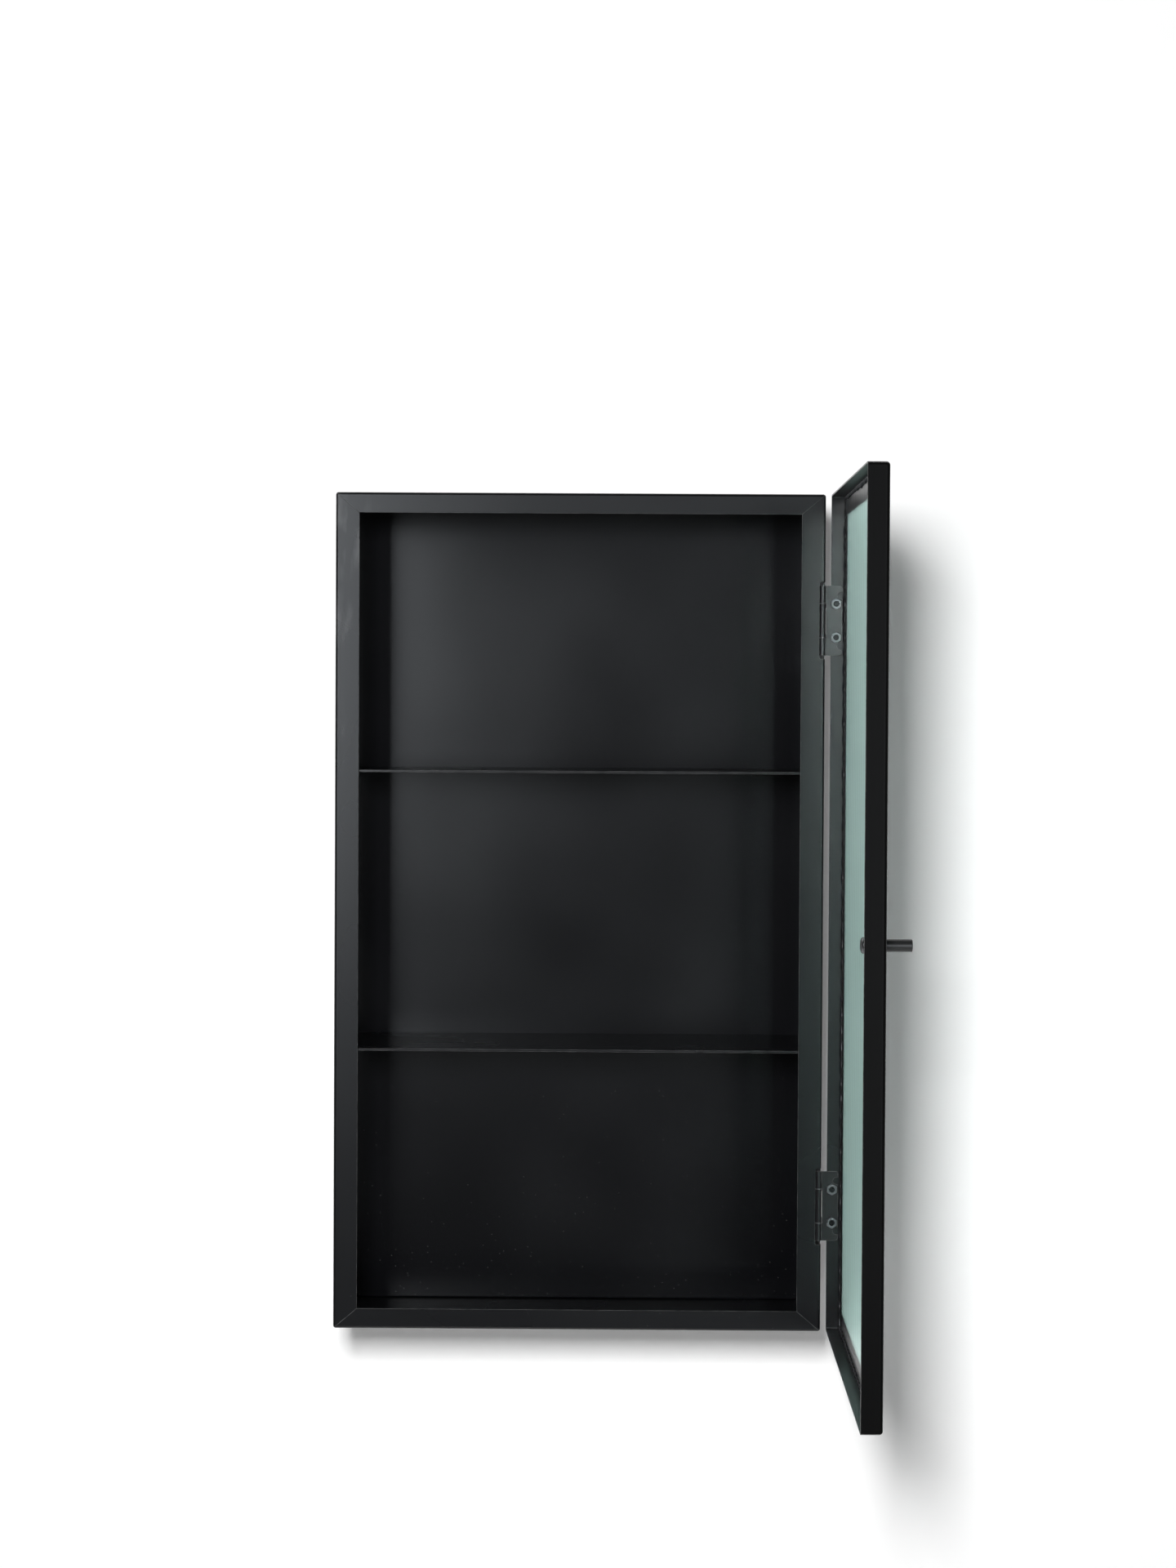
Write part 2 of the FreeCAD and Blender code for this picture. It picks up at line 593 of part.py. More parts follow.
def make_pane(doc):
    """The glass behind the frame's face, with a hole for the knob, and its bead of sealant."""
    inset = "(door_edge_radius + pane_edge_gap)"
    width = f"(cabinet_width - 2 * {inset})"
    height = f"(cabinet_height - 2 * {inset})"
    corner = (f"{DOOR_FREE} + {inset}", PANE_FRONT, f"{inset} - cabinet_height / 2")
    plate = block(doc, "pane_plate", (width, "pane_sheet", height), corner)
    start = (KNOB_X, f"{PANE_FRONT} - cut_overrun", "0")
    hole = rod(doc, "pane_hole", "bolt_radius + pane_hole_clearance",
               "pane_sheet + 2 * cut_overrun", start, TOWARDS_WALL)
    pane = cut(doc, "pane_cut", plate, [hole])
    bead_width = "(cabinet_width - 2 * door_sheet)"
    bead_height = "(cabinet_height - 2 * door_sheet)"
    outer = (f"{DOOR_FREE} + door_sheet", PANE_BACK, "door_sheet - cabinet_height / 2")
    slab = padded(doc, "bead_slab", "XZ_Plane", centred_rectangle(bead_width, bead_height),
                  "bead_on_leg", (DOOR_CENTRE, f"{PANE_BACK} + bead_on_leg", "0"))
    rounded(doc, slab, "door_edge_radius - door_sheet",
            lambda middle: abs(middle.x) > NEAR and abs(middle.z) > NEAR)
    taper = doc.addObject("Part::Wedge", "bead_taper")
    bind(taper, "Xmin", "bead_on_pane")
    bind(taper, "Zmin", "bead_on_pane")
    bind(taper, "Xmax", f"{bead_width} - bead_on_pane")
    bind(taper, "Zmax", f"{bead_height} - bead_on_pane")
    bind(taper, "Ymin", "0")
    bind(taper, "Ymax", "bead_on_leg")
    bind(taper, "X2min", "0")
    bind(taper, "Z2min", "0")
    bind(taper, "X2max", bead_width)
    bind(taper, "Z2max", bead_height)
    place(taper, outer)
    bead = cut(doc, "bead_ring", slab, [taper])
    return [door_piece(doc, "glass_pane", [pane]), door_piece(doc, "glass_sealant", [bead])]


def make_knob(doc):
    """The knob in front of the glass, and the gasket, washer, sleeve and screw that hold it."""
    gasket_front = f"({PANE_FRONT} - gasket_sheet)"
    points = [
        (THREADED_HOLE, "0"), ("knob_radius", "0"), ("knob_radius", "knob_length - knob_chamfer"),
        ("knob_radius - knob_chamfer", "knob_length"), ("0", "knob_length"),
        ("0", "knob_thread_depth"), (THREADED_HOLE, "knob_thread_depth"),
    ]
    knob = turned(doc, "knob_turned", points, (KNOB_X, gasket_front, "0"), TOWARDS_FRONT)
    gasket = ring(doc, "gasket_ring", "gasket_radius", PLAIN_HOLE, "gasket_sheet",
                  (KNOB_X, PANE_FRONT, "0"), TOWARDS_FRONT)
    washer = ring(doc, "washer_ring", "washer_radius", PLAIN_HOLE, "washer_sheet",
                  (KNOB_X, PANE_BACK, "0"), TOWARDS_WALL)
    washer_back = f"({PANE_BACK} + washer_sheet)"
    spacer = ring(doc, "spacer_ring", "spacer_radius", PLAIN_HOLE, SPACER_LENGTH,
                  (KNOB_X, washer_back, "0"), TOWARDS_WALL)
    under_head = (KNOB_X, f"({washer_back} + {SPACER_LENGTH})", "0")
    length = f"{SPACER_LENGTH} + washer_sheet + pane_sheet + gasket_sheet + knob_thread_grip"
    fixing = screw(doc, "knob_fixing", "knob_head_radius", "knob_head_height",
                   length, under_head, TOWARDS_WALL)
    solids = {
        "knob": knob,
        "knob_gasket": gasket,
        "knob_washer": washer,
        "knob_spacer": spacer,
        "knob_screw": fixing,
    }
    return [door_piece(doc, label, [solid]) for label, solid in solids.items()]


def make_catch(doc):
    """A round magnet in a holder behind the free stile, facing the box's flange."""
    face = f"({DOOR_BACK} - holder_setback)"
    corner = (f"{DOOR_FREE} + door_sheet", f"{face} - {HOLDER_DEPTH}", "-holder_height / 2")
    blank = block(doc, "holder_blank", ("holder_width", HOLDER_DEPTH, "holder_height"), corner)
    centre = f"{DOOR_FREE} + door_sheet + holder_width / 2"
    start = (centre, f"{face} - magnet_length", "0")
    pocket = rod(doc, "holder_pocket", "magnet_radius + magnet_gap",
                 "magnet_length + cut_overrun", start, TOWARDS_WALL)
    magnet = rod(doc, "magnet_rod", "magnet_radius", "magnet_length", start, TOWARDS_WALL)
    holder = cut(doc, "holder_cut", blank, [pocket])
    return [door_piece(doc, "catch_holder", [holder]), door_piece(doc, "catch_magnet", [magnet])]


def make_pieces(doc):
    """Every sub-part of the cabinet, in the order of assembly."""
    pieces = make_shell(doc) + make_back_panel(doc)
    pieces += make_shelf(doc, "upper_shelf", 1) + make_shelf(doc, "lower_shelf", 2)
    pieces += [make_hanger(doc, "left", -1), make_hanger(doc, "right", 1)]
    pieces += make_hinges(doc) + make_bolts(doc, False) + make_bolts(doc, True)
    pieces += make_door_frame(doc) + make_pane(doc) + make_knob(doc) + make_catch(doc)
    return pieces


def check(doc, pieces):
    """Stops if any object failed to build or any sub-part has no valid shape."""
    for thing in doc.Objects:
        if "Invalid" in thing.State or "Error" in thing.State:
            raise RuntimeError(f"{thing.Label} did not build: {thing.State}")
    for thing in pieces:
        if thing.Shape.isNull() or not thing.Shape.isValid() or not thing.Shape.Solids:
            raise RuntimeError(f"{thing.Label} has no valid solid")


def main():
    doc = FreeCAD.newDocument("wall_cabinet")
    make_sizes(doc)
    pieces = make_pieces(doc)
    doc.recompute()
    check(doc, pieces)
    os.makedirs("parts", exist_ok=True)
    for thing in pieces:
        thing.Shape.exportStep(f"parts/{thing.Label}.step")
        print(thing.Label, len(thing.Shape.Solids), round(thing.Shape.Volume, 1))


main()
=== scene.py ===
"""Finishes and studio for a wall cabinet of folded black sheet steel with one fluted glass door.

The frame gives each sub-part its shape and place, in metres: X runs to the right, Y into
the wall and Z up. The door stands open at 90 degrees, so its outside faces +X.
This file gives every sub-part its finish. It also makes the pieces whose shape is finer than the
frame's: the fluted pane, the uneven sealant, the knob, and the bolts and nuts of the hinges.
"""

from math import cos, pi, sin

import bpy
import numpy as np
from mathutils import Matrix, Vector


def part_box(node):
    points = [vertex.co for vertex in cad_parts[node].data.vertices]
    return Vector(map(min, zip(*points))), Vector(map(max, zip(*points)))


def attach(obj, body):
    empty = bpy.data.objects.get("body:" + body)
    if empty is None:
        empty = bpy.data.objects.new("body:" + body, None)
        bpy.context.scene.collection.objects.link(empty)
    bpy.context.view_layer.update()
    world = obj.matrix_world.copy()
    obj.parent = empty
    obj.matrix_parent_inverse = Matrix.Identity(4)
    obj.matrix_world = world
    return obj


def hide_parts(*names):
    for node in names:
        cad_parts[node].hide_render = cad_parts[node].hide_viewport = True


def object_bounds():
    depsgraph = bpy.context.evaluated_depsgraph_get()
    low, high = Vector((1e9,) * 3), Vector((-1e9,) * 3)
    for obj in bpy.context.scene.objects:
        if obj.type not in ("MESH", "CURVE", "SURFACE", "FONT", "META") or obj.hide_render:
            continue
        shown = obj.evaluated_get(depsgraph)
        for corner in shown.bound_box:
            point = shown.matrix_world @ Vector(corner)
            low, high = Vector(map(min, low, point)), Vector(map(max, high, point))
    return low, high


bl_info = {
    "name": "Steel Wall Cabinet",
    "version": (1, 0, 0),
    "blender": (4, 5, 0),
    "location": "3D View > Sidebar > Cabinet",
    "description": "Finishes, fine pieces and studio for a steel wall cabinet",
    "category": "Object",
}

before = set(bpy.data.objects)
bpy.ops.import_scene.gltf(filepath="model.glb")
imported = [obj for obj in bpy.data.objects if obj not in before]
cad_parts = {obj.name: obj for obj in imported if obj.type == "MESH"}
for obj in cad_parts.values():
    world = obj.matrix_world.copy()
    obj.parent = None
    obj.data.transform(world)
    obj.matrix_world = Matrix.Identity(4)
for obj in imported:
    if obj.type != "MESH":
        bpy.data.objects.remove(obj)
CAD_LOW, CAD_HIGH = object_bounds()
MM = 0.001
UP = np.array([0.0, 0.0, 1.0])
RIGHT = np.array([1.0, 0.0, 0.0])
TO_WALL = np.array([0.0, 1.0, 0.0])

LEAF_HOLE_PITCH = 24.0 * MM
BOLT_HEAD_HEIGHT = 1.8 * MM
BOLT_SOCKET_FLATS = 2.5 * MM
KNOB_BORE_DEPTH = 12.0 * MM
KNOB_BORE_PLAY = 0.02 * MM

# Shades of the finishes that have no setting of their own.
ENAMEL = (0.012, 0.012, 0.013)
ZINC, WORN_ZINC = (0.42, 0.43, 0.45), (0.6, 0.6, 0.61)
NICKEL, WORN_NICKEL = (0.5, 0.5, 0.49), (0.7, 0.7, 0.7)
SILICONE = (0.009, 0.009, 0.01)
RUBBER = (0.014, 0.014, 0.014)
PALE_MARK_TONE = (0.16, 0.16, 0.165, 1)
SPECK = (0.08, 0.08, 0.077, 1)

# Paler streaky marks on the upper left flange, weaker lower down: how strong each is and how far
# below the top it lies.
PALE_MARKS = ((0.35, 0.03), (0.25, 0.1), (0.2, 0.17))
PALE_MARK_REACH = 0.035
PALE_MARK_INSET = 4.0 * MM

# How nearly a rounded normal matches the plain one, on a flat and on an edge.
FLAT_MATCH, EDGE_MATCH = 0.98, 0.8

# The stage: the wall's place behind the cabinet's back, its top, and how far both boards reach.
WALL_PLACE, WALL_TOP, BOARD_REACH = 0.003, 2.5, 3.0

# Each lamp's name, setting for its power, width and height, place, whether it is mirrored,
# whether it lights, and colour. All of them aim at one point.
COOL, NEUTRAL = (0.9, 0.95, 1.0), (1.0, 1.0, 1.0)
LAMPS = (
    ("key_softbox", "key_power", (0.27, 0.36), (-0.15, -2.5, 0.19), False, True, NEUTRAL),
    ("left_softbox", "left_power", (0.45, 1.2), (-0.62, -2.3, 0.2), True, False, COOL),
    ("side_softbox", "side_power", (0.6, 1.1), (0.7, -2.3, -0.22), True, False, COOL),
    ("rear_lamp", "rear_power", (1.2, 1.2), (-0.6, 2.2, 0.9), True, True, NEUTRAL),
)
LAMP_AIM = Vector((0.05, 0.0, -0.25))

BOX_SHEETS = ["left_side_panel", "right_side_panel", "top_panel", "bottom_panel"]
BOX_INSIDE = ["upper_shelf", "upper_shelf_studs", "lower_shelf", "lower_shelf_studs"]
DOOR_SHEETS = ["door_top_rail", "door_bottom_rail", "door_hinge_stile", "door_hinge_stile_leg"]
HINGE_LEAVES = [
    "upper_hinge_box_leaf",
    "lower_hinge_box_leaf",
    "upper_hinge_door_leaf",
    "lower_hinge_door_leaf",
]
HINGE_PINS = ["upper_hinge_pin", "lower_hinge_pin"]
HANGERS = ["left_wall_hanger", "right_wall_hanger"]


# ---------------------------------------------------------------- properties


def colour_property(name, description, default):
    """A colour that a user may change."""
    return bpy.props.FloatVectorProperty(
        name=name, description=description, default=default, subtype="COLOR", min=0, max=1)


def length_property(name, description, default):
    """A length in metres that a user may change."""
    return bpy.props.FloatProperty(
        name=name, description=description, default=default, unit="LENGTH", min=0, precision=5)


def share_property(name, description, default):
    """A share from 0 to 1 that a user may change."""
    return bpy.props.FloatProperty(
        name=name, description=description, default=default, subtype="FACTOR", min=0, max=1)


def angle_property(name, description, default):
    """An angle that a user may change."""
    return bpy.props.FloatProperty(
        name=name, description=description, default=default, subtype="ANGLE", precision=4)


def power_property(name, description, default):
    """A lamp's power in watts that a user may change."""
    return bpy.props.FloatProperty(
        name=name, description=description, default=default, unit="POWER")


class CabinetPaint(bpy.types.PropertyGroup):
    """The black powder coat of the box and the door."""

    box_tone: colour_property("Box Tone", "Colour of the coat on the box", (0.003, 0.0031, 0.0038))
    door_tone: colour_property(
        "Door Tone", "Colour of the coat on the door", (0.0035, 0.0036, 0.0043))
    # The free stile's tone is darker than the door's: painted shade on the stile's face.
    shaded_stile_tone: colour_property(
        "Shaded Free Stile Tone", "Colour of the coat on the stile that carries the knob",
        (0.003, 0.003, 0.003))
    roughness: share_property("Roughness", "Roughness of the satin coat", 0.28)
    grain_size: length_property("Grain Size", "Size of the fine waves in the coat", 1.3 * MM)
    grain_height: length_property(
        "Grain Height", "Height of the fine waves in the coat", 0.008 * MM)
    edge_radius: length_property("Edge Radius", "How far the coat rounds a cut edge", 0.5 * MM)


class CabinetPane(bpy.types.PropertyGroup):
    """The fluted glass of the door."""

    tint: colour_property("Tint", "Colour of the glass", (0.72, 1.0, 0.93))
    roughness: share_property("Roughness", "Roughness of the glass", 0.3)
    flutes: bpy.props.IntProperty(
        name="Flutes", description="Number of flutes across the glass", default=28, min=1)
    flute_depth: length_property("Flute Depth", "Depth of a flute", 0.6 * MM)
    hole_radius: length_property("Hole Radius", "Radius of the hole for the knob's screw", 2.6 * MM)


class CabinetSealant(bpy.types.PropertyGroup):
    """The bead of black silicone round the glass."""

    width: length_property("Width", "Mean width of the bead on the glass", 2.5 * MM)
    height: length_property("Height", "Mean height of the bead on the frame", 1.05 * MM)
    scallop: share_property("Scallop", "How much the bead swells at every flute", 0.22)
    unevenness: share_property("Unevenness", "How much the bead varies along its run", 0.3)


class CabinetFixings(bpy.types.PropertyGroup):
    """The hinges' bolts and nuts, the knob and its screw."""

    plating: colour_property("Plating", "Colour of the nuts' dark plating", (0.25, 0.25, 0.26))
    bolt_plating: colour_property(
        "Bolt Plating", "Colour of the bolts' black plating", (0.03, 0.03, 0.031))
    bare_steel: colour_property(
        "Bare Steel", "Colour where the plating is worn off", (0.75, 0.75, 0.76))
    nut_flats: length_property("Nut Flats", "Width across a nut's flats", 7.0 * MM)
    bolt_radius: length_property("Bolt Radius", "Radius of a hinge bolt", 2.0 * MM)
    head_radius: length_property("Head Radius", "Radius of a hinge bolt's head", 3.5 * MM)
    thread_pitch: length_property("Thread Pitch", "Pitch of the bolts' threads", 0.7 * MM)
    knob_tone: colour_property("Knob Tone", "Colour of the knob", (0.012, 0.012, 0.0125))
    knob_rim: length_property("Knob Rim", "Radius of the knob's rounded rim", 0.6 * MM)


class CabinetStudio(bpy.types.PropertyGroup):
    """The wall, the floor, the lamps and the camera."""

    wall_shade: share_property("Wall Shade", "Lightness of the wall and of the floor", 0.95)
    wall_glow: share_property("Wall Glow", "Light that the wall adds to the view of it", 0.1)
    glass_glow: share_property(
        "Glow Through Glass", "Light that the wall adds to the view of it through glass", 1.0)
    floor_drop: length_property("Floor Drop", "From the cabinet's underside to the floor", 1.05)
    key_power: power_property("Key Power", "Power of the main softbox", 60.0)
    left_power: power_property("Left Power", "Power of the softbox on the left", 14.0)
    side_power: power_property("Side Power", "Power of the softbox on the right", 10.5)
    rear_power: power_property("Rear Power", "Power of the lamp behind the wall", 70.0)
    room_level: share_property("Room Level", "Strength of the light from all round", 0.04)
    camera_place: bpy.props.FloatVectorProperty(
        name="Camera Place", description="Where the camera stands",
        default=(0.0264, -2.5626, -0.08535), subtype="TRANSLATION", unit="LENGTH")
    camera_yaw: angle_property("Camera Yaw", "Turn of the camera to the right", -0.00831)
    camera_pitch: angle_property("Camera Pitch", "Tilt of the camera upwards", -0.02567)
    camera_roll: angle_property("Camera Roll", "Roll of the camera", 0.00556)
    focal_length: bpy.props.FloatProperty(
        name="Focal Length", description="Focal length in millimetres", default=77.955, min=1)


# ---------------------------------------------------------------- node helpers


def add_node(tree, kind, inputs=None, **settings):
    """Adds a node; each input is set to a value, or linked where the value is a socket."""
    made = tree.nodes.new(kind)
    for name, value in settings.items():
        setattr(made, name, value)
    for name, value in (inputs or {}).items():
        if isinstance(value, bpy.types.NodeSocket):
            tree.links.new(value, made.inputs[name])
        else:
            made.inputs[name].default_value = value
    return made


def maths(tree, operation, *values):
    """A Math node on values or sockets; gives its output."""
    inputs = dict(enumerate(values))
    return add_node(tree, "ShaderNodeMath", inputs, operation=operation).outputs[0]


def between(tree, value, low, high, to_low=0.0, to_high=1.0):
    """Maps a value from one range to another and stops it at the ends."""
    inputs = {
        "Value": value, "From Min": low, "From Max": high, "To Min": to_low, "To Max": to_high}
    return add_node(tree, "ShaderNodeMapRange", inputs).outputs["Result"]


def blended(tree, share, first, second):
    """The first colour where the share is 0 and the second where it is 1."""
    made = add_node(tree, "ShaderNodeMix", {0: share, 6: first, 7: second}, data_type="RGBA")
    return made.outputs[2]


def noise(tree, scale, detail=2.0, stretch=None):
    """Noise on the piece's own coordinates, in cells per metre; gives its value."""
    where = add_node(tree, "ShaderNodeTexCoord").outputs["Object"]
    if stretch:
        inputs = {"Vector": where, "Scale": stretch}
        where = add_node(tree, "ShaderNodeMapping", inputs).outputs["Vector"]
    inputs = {"Vector": where, "Scale": scale, "Detail": detail}
    return add_node(tree, "ShaderNodeTexNoise", inputs).outputs["Fac"]


def new_group(name, inputs, outputs):
    """A shader node group with named sockets: its tree, its input sockets and its output node.

    Each input is a name, a socket kind and a default; each output is a name and a kind.
    """
    tree = bpy.data.node_groups.new(name, "ShaderNodeTree")
    for label, kind, default in inputs:
        socket = tree.interface.new_socket(label, in_out="INPUT", socket_type="NodeSocket" + kind)
        socket.default_value = default
    for label, kind in outputs:
        tree.interface.new_socket(label, in_out="OUTPUT", socket_type="NodeSocket" + kind)
    return tree, tree.nodes.new("NodeGroupInput").outputs, tree.nodes.new("NodeGroupOutput")


def put_out(tree, end, results):
    """Links a group's results to its output node."""
    for label, result in results.items():
        tree.links.new(result, end.inputs[label])


def rounded_edges(tree, radius):
    """The normal that rounds sharp edges, and a mask that is 1 on an edge and 0 on a flat."""
    soft = add_node(tree, "ShaderNodeBevel", {"Radius": radius}, samples=6).outputs["Normal"]
    plain = add_node(tree, "ShaderNodeNewGeometry").outputs["Normal"]
    match = add_node(tree, "ShaderNodeVectorMath", {0: soft, 1: plain}, operation="DOT_PRODUCT")
    return soft, between(tree, match.outputs["Value"], FLAT_MATCH, EDGE_MATCH)


# ---------------------------------------------------------------- shared effects


def coat_group():
    """Powder coat: fine waves, cloudy gloss and a rounded edge that carries a painted highlight."""
    name = "Powder Coat"
    if name in bpy.data.node_groups:
        return bpy.data.node_groups[name]
    tree, given, end = new_group(
        name,
        [("Tone", "Color", (0.01, 0.01, 0.01, 1)), ("Roughness", "Float", 0.4),
         ("Cloudiness", "Float", 0.05), ("Grain Size", "Float", 1.3 * MM),
         ("Grain Height", "Float", 0.02 * MM), ("Edge Radius", "Float", 0.35 * MM),
         ("Edge Tone", "Color", (0.06, 0.06, 0.06, 1))],
        [("Color", "Color"), ("Roughness", "Float"), ("Normal", "Vector")])
    soft, edge = rounded_edges(tree, given["Edge Radius"])
    waves = noise(tree, maths(tree, "DIVIDE", 1.0, given["Grain Size"]), 3.0)
    bump = add_node(
        tree, "ShaderNodeBump",
        {"Height": waves, "Distance": given["Grain Height"], "Normal": soft, "Strength": 1.0})
    clouds = between(tree, noise(tree, 9.0, 1.0), 0.15, 0.85, -1.0, 1.0)
    spread = maths(tree, "MULTIPLY", clouds, given["Cloudiness"])
    rough = maths(tree, "ADD", given["Roughness"], spread)
    # A lighter tone painted along the rounded edges and broken up by noise: a painted highlight.
    edge_highlight = maths(tree, "MULTIPLY", edge, between(tree, noise(tree, 160.0), 0.35, 0.6, 0.3, 1.0))
    tone = blended(tree, edge_highlight, given["Tone"], given["Edge Tone"])
    put_out(tree, end, {"Color": tone, "Roughness": rough, "Normal": bump.outputs["Normal"]})
    return tree


def dust_group():
    """Specks of dust: small round dots, none above the high level and thickest at the low one."""
    name = "Dust Specks"
    if name in bpy.data.node_groups:
        return bpy.data.node_groups[name]
    tree, given, end = new_group(
        name,
        [("Amount", "Float", 0.5), ("Speck Size", "Float", 0.36 * MM),
         ("Low", "Float", -0.54), ("High", "Float", -0.34)],
        [("Mask", "Float")])
    where = add_node(tree, "ShaderNodeTexCoord").outputs["Object"]
    scale = maths(tree, "DIVIDE", 0.12, given["Speck Size"])
    dots = add_node(tree, "ShaderNodeTexVoronoi", {"Vector": where, "Scale": scale})
    near = maths(tree, "DIVIDE", dots.outputs["Distance"], scale)
    core = maths(tree, "MULTIPLY", given["Speck Size"], 0.5)
    speck = between(tree, near, given["Speck Size"], core)
    height = add_node(tree, "ShaderNodeSeparateXYZ", {0: where}).outputs["Z"]
    fading = between(tree, height, given["High"], given["Low"])
    chosen = add_node(tree, "ShaderNodeSeparateXYZ", {0: dots.outputs["Color"]}).outputs["X"]
    kept = maths(tree, "LESS_THAN", chosen, maths(tree, "MULTIPLY", fading, given["Amount"]))
    put_out(tree, end, {"Mask": maths(tree, "MULTIPLY", speck, kept)})
    return tree


def pale_mark_group():
    """Streaky, paler marks inside a soft-edged ball."""
    name = "Rub Marks"
    if name in bpy.data.node_groups:
        return bpy.data.node_groups[name]
    tree, given, end = new_group(
        name,
        [("Amount", "Float", 0.3), ("Place", "Vector", (0, 0, 0)), ("Reach", "Float", 0.1)],
        [("Mask", "Float")])
    where = add_node(tree, "ShaderNodeTexCoord").outputs["Object"]
    apart = add_node(
        tree, "ShaderNodeVectorMath", {0: where, 1: given["Place"]}, operation="DISTANCE")
    inside = between(tree, apart.outputs["Value"], given["Reach"],
                     maths(tree, "MULTIPLY", given["Reach"], 0.3))
    streaks = between(tree, noise(tree, 60.0, 5.0, stretch=(1.6, 1.0, 0.35)), 0.5, 0.68)
    mask = maths(tree, "MULTIPLY", maths(tree, "MULTIPLY", inside, streaks), given["Amount"])
    put_out(tree, end, {"Mask": mask})
    return tree


def wear_group():
    """Edge wear: a mask on sharp edges, broken up by noise, and the rounded normal."""
    name = "Edge Wear"
    if name in bpy.data.node_groups:
        return bpy.data.node_groups[name]
    tree, given, end = new_group(
        name,
        [("Radius", "Float", 0.2 * MM), ("Break Up", "Float", 0.5),
         ("Grain Height", "Float", 0.005 * MM)],
        [("Mask", "Float"), ("Normal", "Vector"), ("Streaks", "Float")])
    soft, edge = rounded_edges(tree, given["Radius"])
    patches = between(tree, noise(tree, 900.0, 3.0), 0.35, 0.6)
    share = between(tree, given["Break Up"], 0.0, 1.0, 1.0, patches)
    fine = noise(tree, 2500.0, 2.0)
    bump = add_node(
        tree, "ShaderNodeBump",
        {"Height": fine, "Distance": given["Grain Height"], "Normal": soft, "Strength": 1.0})
    put_out(tree, end, {
        "Mask": maths(tree, "MULTIPLY", edge, share),
        "Normal": bump.outputs["Normal"], "Streaks": noise(tree, 400.0, 4.0)})
    return tree


def place_group(tree, group, values):
    """Places a shared effect in a material with the material's own values."""
    made = tree.nodes.new("ShaderNodeGroup")
    made.node_tree = group
    for label, value in values.items():
        if isinstance(value, bpy.types.NodeSocket):
            tree.links.new(value, made.inputs[label])
        else:
            made.inputs[label].default_value = value
    return made.outputs


# ---------------------------------------------------------------- materials


def new_material(name):
    """An empty material with its shader; gives the material, its tree and the shader's node."""
    material = bpy.data.materials.new(name)
    material.use_nodes = True
    tree = material.node_tree
    return material, tree, tree.nodes["Principled BSDF"]


def opaque(colour):
    """A property's colour with full opacity."""
    return (*colour, 1.0)


def painted(name, tone, roughness, cloudiness=0.02, dust=0.0, pale_marks=(), edge_highlight_tone=0.2,
            gloss=0.5):
    """Satin black powder coat, with dust and rub marks where asked.

    Each pale mark is an amount, a place and a reach.
    """
    paint = bpy.context.scene.cabinet_paint
    material, tree, shader = new_material(name)
    # The edge tone is a painted highlight along the coat's rounded edges.
    coat = place_group(tree, coat_group(), {
        "Tone": opaque(tone), "Roughness": roughness, "Cloudiness": cloudiness,
        "Grain Size": paint.grain_size, "Grain Height": paint.grain_height,
        "Edge Radius": paint.edge_radius, "Edge Tone": (edge_highlight_tone, edge_highlight_tone, edge_highlight_tone, 1)})
    colour = coat["Color"]
    for amount, place, reach in pale_marks:
        pale_mark = place_group(tree, pale_mark_group(), {"Amount": amount, "Place": place, "Reach": reach})
        colour = blended(tree, pale_mark["Mask"], colour, PALE_MARK_TONE)
    if dust:
        specks = place_group(tree, dust_group(), {"Amount": dust})
        colour = blended(tree, specks["Mask"], colour, SPECK)
    tree.links.new(colour, shader.inputs["Base Color"])
    tree.links.new(coat["Roughness"], shader.inputs["Roughness"])
    tree.links.new(coat["Normal"], shader.inputs["Normal"])
    shader.inputs["Specular IOR Level"].default_value = gloss
    return material


def plated(name, plating, bare, roughness=0.32, radius=0.15 * MM):
    """Plated steel, its edges worn to a brighter metal."""
    material, tree, shader = new_material(name)
    wear = place_group(tree, wear_group(), {"Radius": radius})
    colour = blended(tree, wear["Mask"], opaque(plating), opaque(bare))
    tree.links.new(colour, shader.inputs["Base Color"])
    rough = between(tree, wear["Streaks"], 0.3, 0.7, roughness - 0.08, roughness + 0.08)
    tree.links.new(rough, shader.inputs["Roughness"])
    tree.links.new(wear["Normal"], shader.inputs["Normal"])
    shader.inputs["Metallic"].default_value = 1.0
    return material


def glass(name, tint, roughness):
    """Green-tinted glass with a faint unevenness."""
    material, tree, shader = new_material(name)
    shader.inputs["Base Color"].default_value = opaque(tint)
    shader.inputs["Transmission Weight"].default_value = 1.0
    shader.inputs["IOR"].default_value = 1.5
    shader.inputs["Roughness"].default_value = roughness
    waves = add_node(
        tree, "ShaderNodeBump", {"Height": noise(tree, 40.0, 1.0), "Distance": 0.01 * MM})
    tree.links.new(waves.outputs["Normal"], shader.inputs["Normal"])
    return material


def soft_black(name, tone, roughness, grain, height, coat=0.0):
    """Rubber, plastic or silicone: black with a grain of the size and height given."""
    material, tree, shader = new_material(name)
    value = noise(tree, 1.0 / grain, 3.0)
    darker, lighter = ([factor * part for part in tone] for factor in (0.75, 1.25))
    colour = blended(tree, value, opaque(darker), opaque(lighter))
    tree.links.new(colour, shader.inputs["Base Color"])
    rough = between(tree, noise(tree, 120.0, 3.0), 0.3, 0.7, roughness * 0.85, roughness * 1.15)
    tree.links.new(rough, shader.inputs["Roughness"])
    bump = add_node(tree, "ShaderNodeBump", {"Height": value, "Distance": height})
    tree.links.new(bump.outputs["Normal"], shader.inputs["Normal"])
    shader.inputs["Coat Weight"].default_value = coat
    return material


def give(nodes, material):
    """Gives the frame's own parts a finish."""
    for name in nodes:
        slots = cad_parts[name].data.materials
        slots.clear()
        slots.append(material)


# ---------------------------------------------------------------- surfaces


